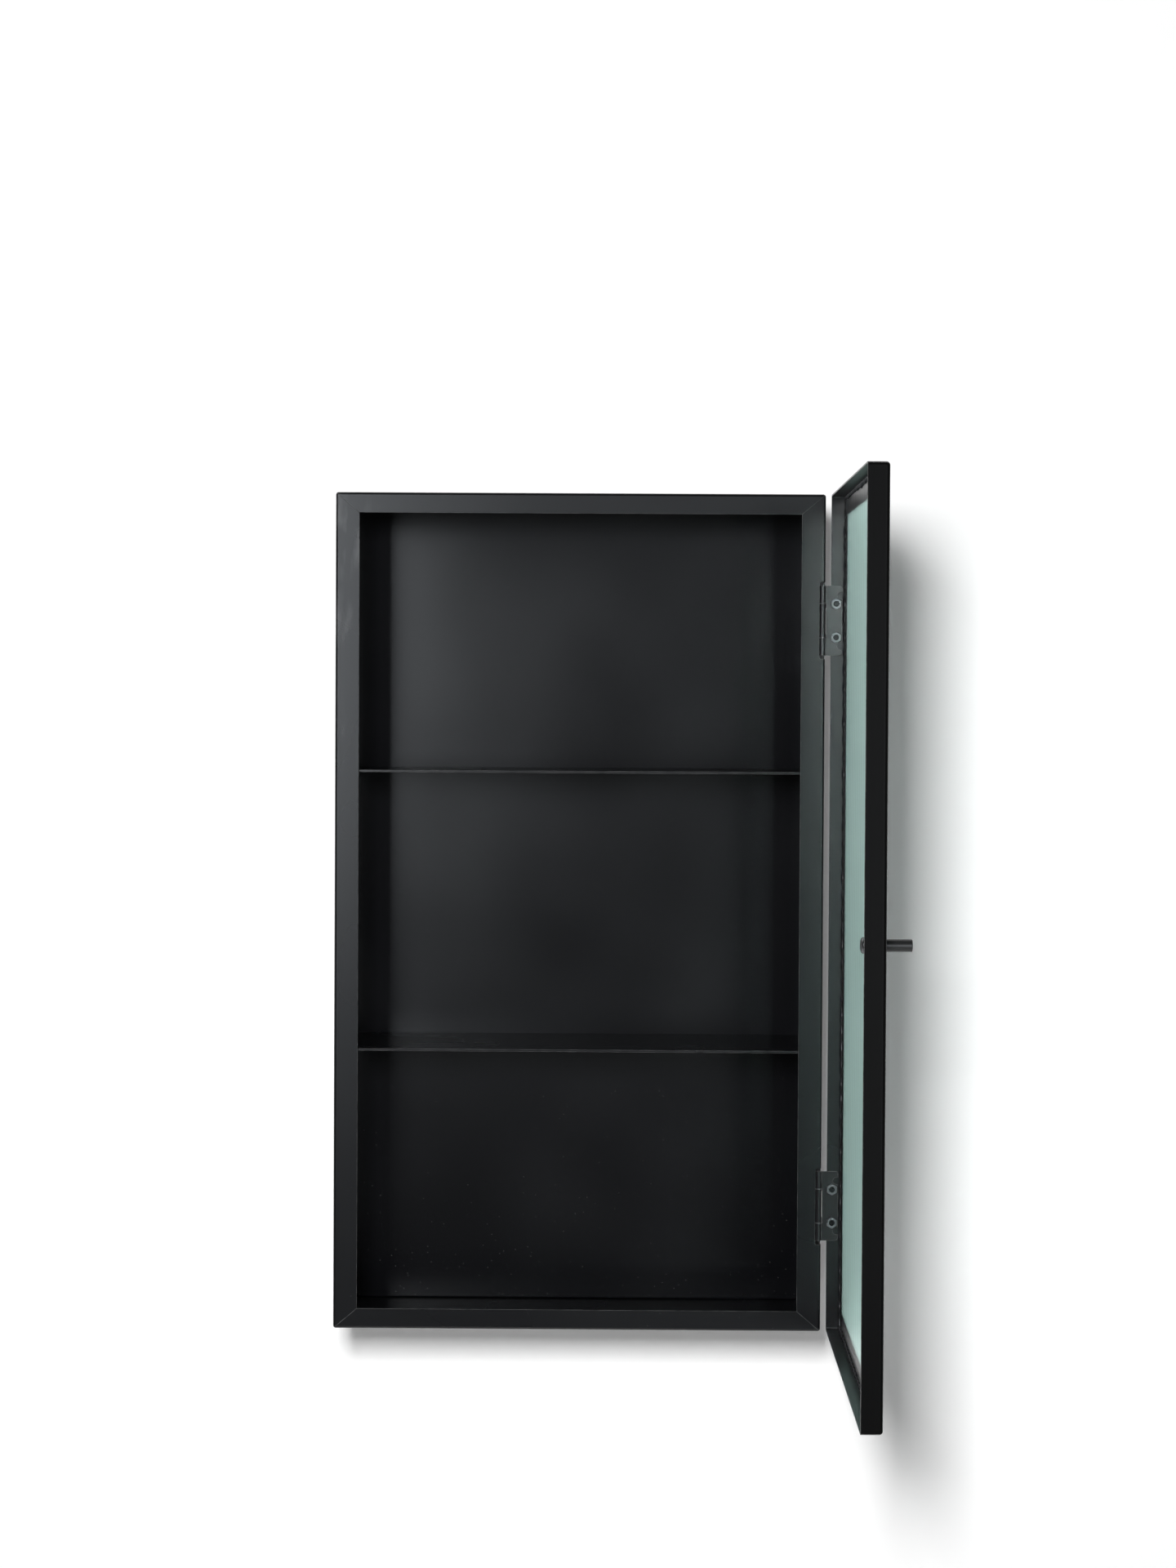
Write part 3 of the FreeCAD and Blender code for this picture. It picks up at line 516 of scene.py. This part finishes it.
def grid_faces(rows, columns, closed_rows=False, closed_columns=False):
    """Four-cornered faces of a grid whose point (r, c) has the number r * columns + c.

    A closed grid also joins its last row or column to its first.
    """
    r = np.arange(rows if closed_rows else rows - 1)[:, None]
    c = np.arange(columns if closed_columns else columns - 1)[None, :]
    after_r, after_c = (r + 1) % rows, (c + 1) % columns
    corners = [r * columns + c, r * columns + after_c,
               after_r * columns + after_c, after_r * columns + c]
    return np.stack(corners, -1).reshape(-1, 4)


def volume_inside(points, faces):
    """Signed volume of a closed surface: a sixth of each triangle's triple product, summed."""
    total = 0.0
    for block in faces:
        corners = points[block]
        for second in range(1, corners.shape[1] - 1):
            crossed = np.cross(corners[:, second], corners[:, second + 1])
            total += np.einsum("ij,ij->", corners[:, 0], crossed) / 6
    return total


def make_piece(name, points, faces, material, body, replaced, sharp=0.6):
    """A finished piece from points and blocks of faces, its faces turned outwards.

    Edges that bend by more than the sharp angle, in radians, stay sharp.
    """
    if volume_inside(points, faces) < 0:
        faces = [block[:, ::-1] for block in faces]
    mesh = bpy.data.meshes.new(name)
    mesh.from_pydata(points.tolist(), [], [face for block in faces for face in block.tolist()])
    if mesh.validate():
        raise RuntimeError(f"{name} had faces that could not be kept")
    mesh.shade_smooth()
    mesh.set_sharp_from_angle(angle=sharp)
    mesh.materials.append(material)
    piece = bpy.data.objects.new(name, mesh)
    bpy.context.scene.collection.objects.link(piece)
    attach(piece, body)
    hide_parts(replaced)
    return piece


def lathe(radii, heights):
    """A turned solid about its own axis.

    The point of row r and step s lies radii[r, s] out from the axis at the angle
    s / steps of a turn, and heights[r] along it. The first and last rows are closed to a point
    on the axis.
    """
    rows, steps = radii.shape
    angle = np.arange(steps) * 2 * pi / steps
    along = np.repeat(np.asarray(heights, float)[:, None], steps, axis=1)
    ring = np.stack([radii * np.cos(angle), radii * np.sin(angle), along], -1).reshape(-1, 3)
    points = np.vstack([ring, [[0, 0, heights[0]], [0, 0, heights[-1]]]])
    step = np.arange(steps)
    after = (step + 1) % steps
    first = np.stack([np.full(steps, rows * steps), after, step], -1)
    last_row = (rows - 1) * steps
    last = np.stack([np.full(steps, rows * steps + 1), last_row + step, last_row + after], -1)
    return points, [grid_faces(rows, steps, closed_columns=True), first, last]


def hexagon(flats, angle):
    """Radius of a hexagon at an angle: half its flats over the cosine of the angle to a flat."""
    return flats / 2 / np.cos(np.mod(angle, pi / 3) - pi / 6)


def stand_at(points, spots, way):
    """Copies of a turned solid: its axis runs along way from each spot, its first step is up."""
    side = np.cross(way, UP)
    turn = np.stack([UP, side, way])
    return np.vstack([points @ turn + spot for spot in spots])


def repeated(faces, count, number):
    """The faces of a number of copies of a solid that has count points."""
    return [np.vstack([block + copy * count for copy in range(number)]) for block in faces]


def hinge_spots(node, end_reach, across, along):
    """Where the four bolts or nuts of a node sit: at each hinge, half a hole pitch up and down.

    The node's box gives the lowest and the highest; end_reach is how far each reaches from its
    centre. Across and along are the other two coordinates, as (axis number, value) pairs.
    """
    low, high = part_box(node)
    heights = [low.z + end_reach, low.z + end_reach + LEAF_HOLE_PITCH,
               high.z - end_reach - LEAF_HOLE_PITCH, high.z - end_reach]
    spots = np.zeros((len(heights), 3))
    spots[:, 2] = heights
    for axis, value in (across, along):
        spots[:, axis] = value
    return spots


# ---------------------------------------------------------------- the door's fine pieces


def pane_surface(low, high, flutes, depth, hole, hole_radius, fine=12, patch=12, rings=4):
    """The fluted pane.

    The outer face is the plane X = high.x. The inner face is X = low.x plus half the depth times
    one less the cosine of the flutes' phase, where the phase grows by a full turn per flute from
    the low edge to the high edge. Round the hole, a square patch of cells is replaced by rings
    that run from the square's edge to the hole's circle.
    """
    width = high.y - low.y
    columns = flutes * fine + 1
    y = np.linspace(low.y, high.y, columns)
    pitch = width / flutes
    start = int(round((hole[0] - low.y) / pitch * fine)) - patch // 2
    reach = patch / 2 * pitch / fine
    inner_rows = np.linspace(hole[1] - reach, hole[1] + reach, patch + 1)
    z = np.concatenate([[low.z], inner_rows, [high.z]])

    def inside(at):
        return low.x + depth / 2 * (1 - np.cos(2 * pi * flutes * (at - low.y) / width))

    grid_y, grid_z = np.meshgrid(y, z)
    rows = len(z)
    outer = np.stack([np.full_like(grid_y, high.x), grid_y, grid_z], -1).reshape(-1, 3)
    inner = np.stack([inside(grid_y), grid_y, grid_z], -1).reshape(-1, 3)
    cells = grid_faces(rows, columns).reshape(rows - 1, columns - 1, 4)
    kept = np.ones(cells.shape[:2], bool)
    kept[1:patch + 1, start:start + patch] = False
    front = cells[kept]

    run = np.arange(patch)
    loop_row = np.concatenate([np.zeros(patch, int), run, np.full(patch, patch), patch - run]) + 1
    loop_column = np.concatenate(
        [run, np.full(patch, patch), patch - run, np.zeros(patch, int)]) + start
    loop = loop_row * columns + loop_column
    square = outer[loop][:, 1:]
    away = square - np.array(hole)
    circle = np.array(hole) + hole_radius * away / np.linalg.norm(away, axis=1, keepdims=True)
    share = np.linspace(0, 1, rings + 1)[1:, None, None]
    flat = ((1 - share) * square + share * circle).reshape(-1, 2)
    outer_rings = np.column_stack([np.full(len(flat), high.x), flat])
    inner_rings = np.column_stack([inside(flat[:, 0]), flat])

    count = rows * columns
    around = len(loop)
    points = np.vstack([outer, inner, outer_rings, inner_rings])
    first_outer, first_inner = 2 * count, 2 * count + rings * around
    ring_points = np.arange(rings * around).reshape(rings, around)
    outer_steps = np.vstack([loop[None, :], first_outer + ring_points])
    inner_steps = np.vstack([loop[None, :] + count, first_inner + ring_points])
    order = grid_faces(rings + 1, around, closed_columns=True)
    outer_patch = outer_steps.ravel()[order]
    inner_patch = inner_steps.ravel()[order][:, ::-1]
    wall = np.stack([outer_steps[-1], np.roll(outer_steps[-1], -1),
                     np.roll(inner_steps[-1], -1), inner_steps[-1]], -1)

    top_run = (rows - 1) * columns + np.arange(columns)[::-1]
    rim = np.concatenate([
        np.arange(columns - 1), np.arange(rows - 1) * columns + columns - 1, top_run[:-1],
        np.arange(rows - 1)[::-1] * columns + columns])
    edge = np.stack([rim, rim + count, np.roll(rim, -1) + count, np.roll(rim, -1)], -1)
    return points, [front, front[:, ::-1] + count, outer_patch, inner_patch, wall, edge]


def bead_surface(low, high, sunk, width, height, scallop, unevenness, flutes, steps=1900, across=7):
    """The sealant bead: a fillet carried round the rectangle where the glass meets the frame.

    Its section runs from the corner along the glass by the width, and back along a bulging curve
    to the height on the frame. At a distance s round the rectangle both are multiplied by one plus
    a cosine at every flute and a sum of slow waves. The section's inward distance shrinks the
    rectangle, so the corners are mitred. The whole bead is sunk into the flutes.
    """
    size_y, size_z = high.y - low.y, high.z - low.z
    total = 2 * (size_y + size_z)
    s = np.arange(steps) * total / steps
    turns = 2 * pi * s / total
    ripple = np.cos(turns * round(total / (size_y / flutes)))
    slow = (np.sin(7 * turns + 1.0) + 0.8 * np.sin(17 * turns + 2.2) + 0.7 * np.sin(31 * turns + 0.4)
            + 0.5 * np.sin(57 * turns + 5.0)) / 3
    lumps = ((1 + np.cos(43 * turns + 2 * np.sin(5 * turns))) / 2) ** 6
    size = 1 + scallop * ripple + unevenness * (slow + 0.8 * lumps)
    bulge = np.linspace(0, pi / 2, across)
    inward = np.concatenate([[0.0], np.cos(bulge) ** 1.25])
    outward = np.concatenate([[0.0], np.sin(bulge) ** 1.25])
    reach = width * size[:, None] * inward
    back = height * np.minimum(size, 1.4)[:, None] * outward

    side = np.select(
        [s < size_y, s < size_y + size_z, s < 2 * size_y + size_z], [0, 1, 2], 3)
    begins = np.array([0, size_y, size_y + size_z, 2 * size_y + size_z])
    lengths = np.array([size_y, size_z, size_y, size_z])
    share = ((s - begins[side]) / lengths[side])[:, None]
    corner_y = np.array([low.y, high.y, high.y, low.y, low.y])
    corner_z = np.array([low.z, low.z, high.z, high.z, low.z])
    in_y = np.sign((low.y + high.y) / 2 - corner_y)
    in_z = np.sign((low.z + high.z) / 2 - corner_z)
    start_y = corner_y[side][:, None] + in_y[side][:, None] * reach
    start_z = corner_z[side][:, None] + in_z[side][:, None] * reach
    end_y = corner_y[side + 1][:, None] + in_y[side + 1][:, None] * reach
    end_z = corner_z[side + 1][:, None] + in_z[side + 1][:, None] * reach
    y = (1 - share) * start_y + share * end_y
    z = (1 - share) * start_z + share * end_z
    x = high.x - back + sunk * (back <= 0)
    points = np.stack([x, y, z], -1).reshape(-1, 3)
    return points, [grid_faces(steps, across + 1, True, True)]


def knob_surface(radius, length, rim, bore, bore_depth, steps=96):
    """The knob: from its bore's blind end down the bore, out, up the side and over the rim.

    The rim is a quarter circle, and the end is hollowed by a shallow parabola.
    """
    turn = np.linspace(0, pi / 2, 9)
    rim_out = radius - rim + rim * np.cos(turn)
    rim_up = length - rim + rim * np.sin(turn)
    dish_out = np.linspace(radius - rim, 0.05 * radius, 8)[1:]
    dish_up = length - 0.15 * MM * (1 - (dish_out / (radius - rim)) ** 2)
    out = np.concatenate([[bore * 0.5, bore, bore, radius - 0.15 * MM, radius], rim_out, dish_out])
    up = np.concatenate([[bore_depth, bore_depth, 0.0, 0.0, 0.15 * MM], rim_up, dish_up])
    return lathe(np.repeat(out[:, None], steps, axis=1), up)


def bolt_surface(radius, head_radius, head_height, length, pitch, steps=48):
    """A hinge bolt with a domed head and a hexagonal socket; its zero height is under the head.

    The shank's radius falls by the thread's depth times half of one less the cosine of the
    height's turns less the angle, which is a helix. The head is an ellipse's quarter, and the
    socket's wall follows a hexagon.
    """
    angle = np.arange(steps) * 2 * pi / steps
    plain = np.ones(steps)
    shank_up = np.linspace(-length + 0.3 * MM, -0.5 * MM, 80)
    cut_depth = 0.06 * radius
    thread = radius - cut_depth * (1 - np.cos(2 * pi * shank_up[:, None] / pitch - angle[None, :]))
    dome = np.linspace(0, pi / 2 - 0.35, 8)
    dome_out = head_radius * np.cos(dome)
    dome_up = 0.25 * head_height + 0.75 * head_height * np.sin(dome)
    socket = hexagon(BOLT_SOCKET_FLATS, angle)
    rows = [0.3 * radius * plain, (radius - 0.3 * MM) * plain]
    rows += list(thread) + [radius * plain, head_radius * plain]
    rows += [out * plain for out in dome_out]
    rows += [1.04 * socket, socket, socket, 0.3 * socket]
    crown = dome_up[-1]
    floor = 0.35 * head_height
    heights = np.concatenate([
        [-length, -length], shank_up, [0.0, 0.0], dome_up, [crown, crown - 0.05 * MM, floor, floor]])
    return lathe(np.array(rows), heights)


def nut_surface(flats, height, bore, steps=72):
    """A nut: a hexagon whose outer end is cut back by a cone; its zero height is on the leaf.

    Each row's radius is the smaller of the hexagon's and the cone's at that height.
    """
    angle = np.arange(steps) * 2 * pi / steps
    body = hexagon(flats, angle)
    drops = np.array([0.9, 0.5, 0.35, 0.25, 0.15, 0.05, 0.0]) * MM
    slope = 3.0 ** 0.5
    cone = 0.47 * flats + slope * drops
    plain = np.ones(steps)
    rows = [(bore + 0.2 * MM) * plain, body, *[np.minimum(body, limit) for limit in cone]]
    rows += [0.95 * cone[-1] * plain, (bore + 0.3 * MM) * plain, bore * plain, bore * plain]
    up = [0.0, 0.0, *(height - drops), height, height, height - 0.3 * MM, 0.2 * MM]
    radii = np.array(rows)
    along = np.repeat(np.array(up)[:, None], steps, axis=1)
    points = np.stack([radii * np.cos(angle), radii * np.sin(angle), along], -1).reshape(-1, 3)
    return points, [grid_faces(len(rows), steps, True, True)]


# ---------------------------------------------------------------- operators


class CABINET_OT_finish_box(bpy.types.Operator):
    """Coat the box's panels, back panel, shelves and studs."""

    bl_idname = "cabinet.finish_box"
    bl_label = "Finish the Box"

    def execute(self, context):
        paint = context.scene.cabinet_paint
        low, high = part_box("left_side_panel")
        marks = [(amount, (low.x + PALE_MARK_INSET, low.y, high.z - down), PALE_MARK_REACH)
                 for amount, down in PALE_MARKS]
        sheets = painted("box coat", paint.box_tone, paint.roughness, pale_marks=marks, dust=0.04)
        back = painted("back panel coat", paint.box_tone, paint.roughness - 0.06, 0.04, dust=0.3)
        inside = painted("shelf coat", paint.box_tone, paint.roughness - 0.02, 0.04, dust=0.1)
        give(BOX_SHEETS, sheets)
        give(["back_panel"], back)
        give(BOX_INSIDE, inside)
        return {"FINISHED"}


class CABINET_OT_finish_door(bpy.types.Operator):
    """Coat the door's rails and stiles."""

    bl_idname = "cabinet.finish_door"
    bl_label = "Finish the Door Frame"

    def execute(self, context):
        paint = context.scene.cabinet_paint
        give(DOOR_SHEETS, painted("door coat", paint.door_tone, paint.roughness))
        # The free stile's coat is a darker, less glossy copy of the door's coat, which is painted
        # shade. Its lighter edges are a painted highlight.
        shaded_stile = painted(
            "free stile coat", paint.shaded_stile_tone, paint.roughness + 0.06, edge_highlight_tone=0.35, gloss=0.06)
        give(["door_free_stile"], shaded_stile)
        return {"FINISHED"}


class CABINET_OT_finish_hinges(bpy.types.Operator):
    """Enamel the hinge leaves and plate the pins."""

    bl_idname = "cabinet.finish_hinges"
    bl_label = "Finish the Hinges"

    def execute(self, context):
        fixings = context.scene.cabinet_fixings
        # The hinge leaves' lighter edges are a painted highlight.
        give(HINGE_LEAVES, painted("hinge enamel", ENAMEL, 0.22, edge_highlight_tone=0.3))
        give(HINGE_PINS, plated("pin plating", fixings.plating, fixings.bare_steel))
        return {"FINISHED"}


class CABINET_OT_finish_hangers(bpy.types.Operator):
    """Plate the wall hangers with zinc."""

    bl_idname = "cabinet.finish_hangers"
    bl_label = "Finish the Wall Hangers"

    def execute(self, context):
        give(HANGERS, plated("hanger zinc", ZINC, WORN_ZINC, 0.42))
        return {"FINISHED"}


class CABINET_OT_glaze_door(bpy.types.Operator):
    """Make the fluted pane."""

    bl_idname = "cabinet.glaze_door"
    bl_label = "Glaze the Door"

    def execute(self, context):
        pane = context.scene.cabinet_pane
        low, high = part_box("glass_pane")
        knob_low, knob_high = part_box("knob")
        centre = (knob_low + knob_high) / 2
        points, faces = pane_surface(
            low, high, pane.flutes, pane.flute_depth, (centre.y, centre.z), pane.hole_radius)
        finish = glass("fluted glass", pane.tint, pane.roughness)
        make_piece("fluted_pane", points, faces, finish, "door", "glass_pane")
        return {"FINISHED"}


class CABINET_OT_seal_pane(bpy.types.Operator):
    """Run the bead of silicone round the pane."""

    bl_idname = "cabinet.seal_pane"
    bl_label = "Seal the Pane"

    def execute(self, context):
        bead = context.scene.cabinet_sealant
        pane = context.scene.cabinet_pane
        low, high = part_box("glass_sealant")
        points, faces = bead_surface(
            low, high, pane.flute_depth, bead.width, bead.height, bead.scallop, bead.unevenness,
            pane.flutes)
        finish = soft_black("silicone", SILICONE, 0.22, 3.0 * MM, 0.02 * MM, coat=0.3)
        make_piece("silicone_bead", points, faces, finish, "door", "glass_sealant")
        return {"FINISHED"}


class CABINET_OT_fit_knob(bpy.types.Operator):
    """Make the knob and finish its gasket, washer, spacer and screw."""

    bl_idname = "cabinet.fit_knob"
    bl_label = "Fit the Knob"

    def execute(self, context):
        fixings = context.scene.cabinet_fixings
        low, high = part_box("knob")
        centre = (low + high) / 2
        points, faces = knob_surface(
            (high.y - low.y) / 2, high.x - low.x, fixings.knob_rim,
            fixings.bolt_radius + KNOB_BORE_PLAY, KNOB_BORE_DEPTH)
        points = stand_at(points, [np.array([low.x, centre.y, centre.z])], RIGHT)
        # The knob's faintly lighter edge is a painted highlight.
        finish = painted("knob coat", fixings.knob_tone, 0.36, 0.05, edge_highlight_tone=0.05)
        make_piece("turned_knob", points, faces, finish, "door", "knob")
        rubber = soft_black("rubber", RUBBER, 0.7, 0.3 * MM, 0.02 * MM)
        give(["knob_gasket", "knob_washer"], rubber)
        steel = plated("screw plating", fixings.plating, fixings.bare_steel)
        give(["knob_spacer", "knob_screw"], steel)
        return {"FINISHED"}


class CABINET_OT_fit_bolts(bpy.types.Operator):
    """Make the bolts and nuts of both hinges, on the box and on the door."""

    bl_idname = "cabinet.fit_bolts"
    bl_label = "Fit the Bolts and Nuts"

    def execute(self, context):
        fixings = context.scene.cabinet_fixings
        bolt_finish = plated("bolt plating", fixings.bolt_plating, fixings.plating)
        nut_finish = plated("nut plating", fixings.plating, fixings.bare_steel, radius=0.3 * MM)
        rim = hexagon(fixings.nut_flats, np.array([0.0]))[0]
        for body, owner, axis, way in (("cabinet", "box", 0, RIGHT), ("door", "door", 1, TO_WALL)):
            other = 1 - axis
            low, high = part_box(f"{owner}_hinge_nuts")
            middle = (low[other] + high[other]) / 2
            spots = hinge_spots(f"{owner}_hinge_nuts", rim, (axis, high[axis]), (other, middle))
            points, faces = nut_surface(
                fixings.nut_flats, high[axis] - low[axis], fixings.bolt_radius)
            make_piece(
                f"{owner}_nuts", stand_at(points, spots, -way),
                repeated(faces, len(points), len(spots)),
                nut_finish, body, f"{owner}_hinge_nuts", sharp=0.4)

            node = f"{owner}_hinge_bolts"
            low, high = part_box(node)
            under_head = high[axis] - BOLT_HEAD_HEIGHT
            spots = hinge_spots(node, fixings.head_radius, (axis, under_head), (other, middle))
            points, faces = bolt_surface(
                fixings.bolt_radius, fixings.head_radius, BOLT_HEAD_HEIGHT,
                under_head - low[axis], fixings.thread_pitch)
            make_piece(
                f"{owner}_bolts", stand_at(points, spots, way),
                repeated(faces, len(points), len(spots)),
                bolt_finish, body, node)
        return {"FINISHED"}


class CABINET_OT_fit_catch(bpy.types.Operator):
    """Finish the magnet and its holder."""

    bl_idname = "cabinet.fit_catch"
    bl_label = "Fit the Catch"

    def execute(self, context):
        plastic = soft_black("holder plastic", RUBBER, 0.5, 0.5 * MM, 0.02 * MM)
        give(["catch_holder"], plastic)
        give(["catch_magnet"], plated("magnet nickel", NICKEL, WORN_NICKEL, 0.25))
        return {"FINISHED"}


class CABINET_OT_build_studio(bpy.types.Operator):
    """Build the wall, the floor, the lamps and the camera."""

    bl_idname = "cabinet.build_studio"
    bl_label = "Build the Studio"

    def execute(self, context):
        studio = context.scene.cabinet_studio
        ground_height = CAD_LOW.z - studio.floor_drop
        sides = (-BOARD_REACH, BOARD_REACH, BOARD_REACH, -BOARD_REACH)
        heights = (ground_height, ground_height, WALL_TOP, WALL_TOP)
        wall = make_board("studio_wall", [(x, WALL_PLACE, z) for x, z in zip(sides, heights)])
        wall.data.materials.append(wall_finish(studio))
        depths = (-BOARD_REACH, -BOARD_REACH, BOARD_REACH, BOARD_REACH)
        ground = make_board("studio_floor", [(x, y, ground_height) for x, y in zip(sides, depths)])
        ground.data.materials.append(floor_finish(studio))
        light_room(studio)
        for name, setting, size, place, mirrored, lights, colour in LAMPS:
            add_lamp(name, getattr(studio, setting), size, Vector(place), mirrored, lights, colour)
        add_camera(studio)
        context.scene.view_settings.view_transform = "Standard"
        return {"FINISHED"}


def make_board(name, corners):
    """A flat board of the stage."""
    mesh = bpy.data.meshes.new(name)
    mesh.from_pydata(corners, [], [(0, 1, 2, 3)])
    board = bpy.data.objects.new(name, mesh)
    bpy.context.scene.collection.objects.link(board)
    return board


def seen_through_glass(tree, path):
    """One straight through the glass, less in a reflection of it, none for scattered light."""
    unscattered = maths(tree, "LESS_THAN", path["Diffuse Depth"], 0.5)
    weight = between(tree, path["Glossy Depth"], 0.0, 1.0, 1.0, 0.6)
    straight = maths(tree, "MULTIPLY", unscattered, weight)
    return maths(tree, "MULTIPLY", path["Is Transmission Ray"], straight)


def wall_finish(studio):
    """Plain white wall that shows only from its front, a little lighter where it is looked at."""
    material, tree, shader = new_material("studio wall")
    shade = studio.wall_shade
    shader.inputs["Base Color"].default_value = (shade, shade, shade, 1)
    shader.inputs["Roughness"].default_value = 1.0
    shader.inputs["Specular IOR Level"].default_value = 0.0
    shader.inputs["Emission Strength"].default_value = 1.0
    path = add_node(tree, "ShaderNodeLightPath").outputs
    seen = maths(tree, "MAXIMUM", path["Is Camera Ray"], path["Is Glossy Ray"])
    plain = maths(tree, "MULTIPLY", seen, studio.wall_glow)
    through = maths(tree, "MULTIPLY", seen_through_glass(tree, path), studio.glass_glow)
    glow = maths(tree, "MAXIMUM", plain, through)
    tree.links.new(glow, shader.inputs["Emission Color"])
    behind = add_node(tree, "ShaderNodeNewGeometry").outputs["Backfacing"]
    clear = add_node(tree, "ShaderNodeBsdfTransparent").outputs[0]
    mixed = add_node(tree, "ShaderNodeMixShader", {0: behind, 1: shader.outputs[0], 2: clear})
    tree.links.new(mixed.outputs[0], tree.nodes["Material Output"].inputs["Surface"])
    return material


def floor_finish(studio):
    """Plain pale floor, a little darker than the wall."""
    material, _, shader = new_material("studio floor")
    shade = studio.wall_shade * 0.9
    shader.inputs["Base Color"].default_value = (shade, shade, shade, 1)
    shader.inputs["Roughness"].default_value = 0.9
    return material


def light_room(studio):
    """Even light from all round, which looks white where it is seen directly or through glass."""
    world = bpy.data.worlds.new("studio room")
    bpy.context.scene.world = world
    world.use_nodes = True
    tree = world.node_tree
    path = add_node(tree, "ShaderNodeLightPath").outputs
    seen = maths(tree, "MAXIMUM", path["Is Camera Ray"], seen_through_glass(tree, path))
    strength = between(tree, seen, 0.0, 1.0, studio.room_level, 1.0)
    tree.links.new(strength, tree.nodes["Background"].inputs["Strength"])
    tree.nodes["Background"].inputs["Color"].default_value = (1, 1, 1, 1)


def add_lamp(name, power, size, place, mirrored, lights, colour):
    """A softbox at a place, turned to the common aim.

    One that isn't mirrored only lights; one that doesn't light is only mirrored.
    """
    data = bpy.data.lights.new(name, "AREA")
    data.energy = power
    data.color = colour
    data.shape = "RECTANGLE"
    data.size, data.size_y = size
    lamp = bpy.data.objects.new(name, data)
    lamp.location = place
    lamp.visible_glossy = mirrored
    lamp.visible_diffuse = lights
    lamp.rotation_mode = "QUATERNION"
    lamp.rotation_quaternion = (LAMP_AIM - place).to_track_quat("-Z", "Y")
    bpy.context.scene.collection.objects.link(lamp)


def add_camera(studio):
    """The camera, from its place, yaw, pitch and roll."""
    yaw, pitch, roll = studio.camera_yaw, studio.camera_pitch, studio.camera_roll
    forward = Vector((sin(yaw) * cos(pitch), cos(yaw) * cos(pitch), sin(pitch)))
    level = Vector((cos(yaw), -sin(yaw), 0))
    over = level.cross(forward)
    right = cos(roll) * level + sin(roll) * over
    top = -sin(roll) * level + cos(roll) * over
    data = bpy.data.cameras.new("camera")
    data.lens = studio.focal_length
    camera = bpy.data.objects.new("camera", data)
    camera.matrix_world = Matrix.Translation(Vector(studio.camera_place)) @ Matrix(
        (right, top, -forward)).transposed().to_4x4()
    bpy.context.scene.collection.objects.link(camera)
    bpy.context.scene.camera = camera


class CABINET_PT_sidebar(bpy.types.Panel):
    """Lists the cabinet's sizes and colours and the buttons that build it."""

    bl_idname = "CABINET_PT_sidebar"
    bl_label = "Steel Wall Cabinet"
    bl_space_type = "VIEW_3D"
    bl_region_type = "UI"
    bl_category = "Cabinet"

    def draw(self, context):
        for group_name in GROUPS:
            group = getattr(context.scene, group_name)
            box = self.layout.box()
            for name in group.bl_rna.properties.keys():
                if name not in ("rna_type", "name"):
                    box.prop(group, name)
        for operator in OPERATORS:
            self.layout.operator(operator.bl_idname)


GROUPS = {
    "cabinet_paint": CabinetPaint,
    "cabinet_pane": CabinetPane,
    "cabinet_sealant": CabinetSealant,
    "cabinet_fixings": CabinetFixings,
    "cabinet_studio": CabinetStudio,
}
OPERATORS = (
    CABINET_OT_finish_box,
    CABINET_OT_finish_door,
    CABINET_OT_finish_hinges,
    CABINET_OT_finish_hangers,
    CABINET_OT_glaze_door,
    CABINET_OT_seal_pane,
    CABINET_OT_fit_knob,
    CABINET_OT_fit_bolts,
    CABINET_OT_fit_catch,
    CABINET_OT_build_studio,
)


def register():
    for name, group in GROUPS.items():
        bpy.utils.register_class(group)
        setattr(bpy.types.Scene, name, bpy.props.PointerProperty(type=group))
    for kind in (*OPERATORS, CABINET_PT_sidebar):
        bpy.utils.register_class(kind)


def unregister():
    for kind in reversed((*OPERATORS, CABINET_PT_sidebar)):
        bpy.utils.unregister_class(kind)
    for name, group in GROUPS.items():
        delattr(bpy.types.Scene, name)
        bpy.utils.unregister_class(group)


def main():
    register()
    bpy.ops.cabinet.finish_box()
    bpy.ops.cabinet.finish_door()
    bpy.ops.cabinet.finish_hinges()
    bpy.ops.cabinet.finish_hangers()
    bpy.ops.cabinet.glaze_door()
    bpy.ops.cabinet.seal_pane()
    bpy.ops.cabinet.fit_knob()
    bpy.ops.cabinet.fit_bolts()
    bpy.ops.cabinet.fit_catch()
    bpy.ops.cabinet.build_studio()


if __name__ == "__main__":
    main()
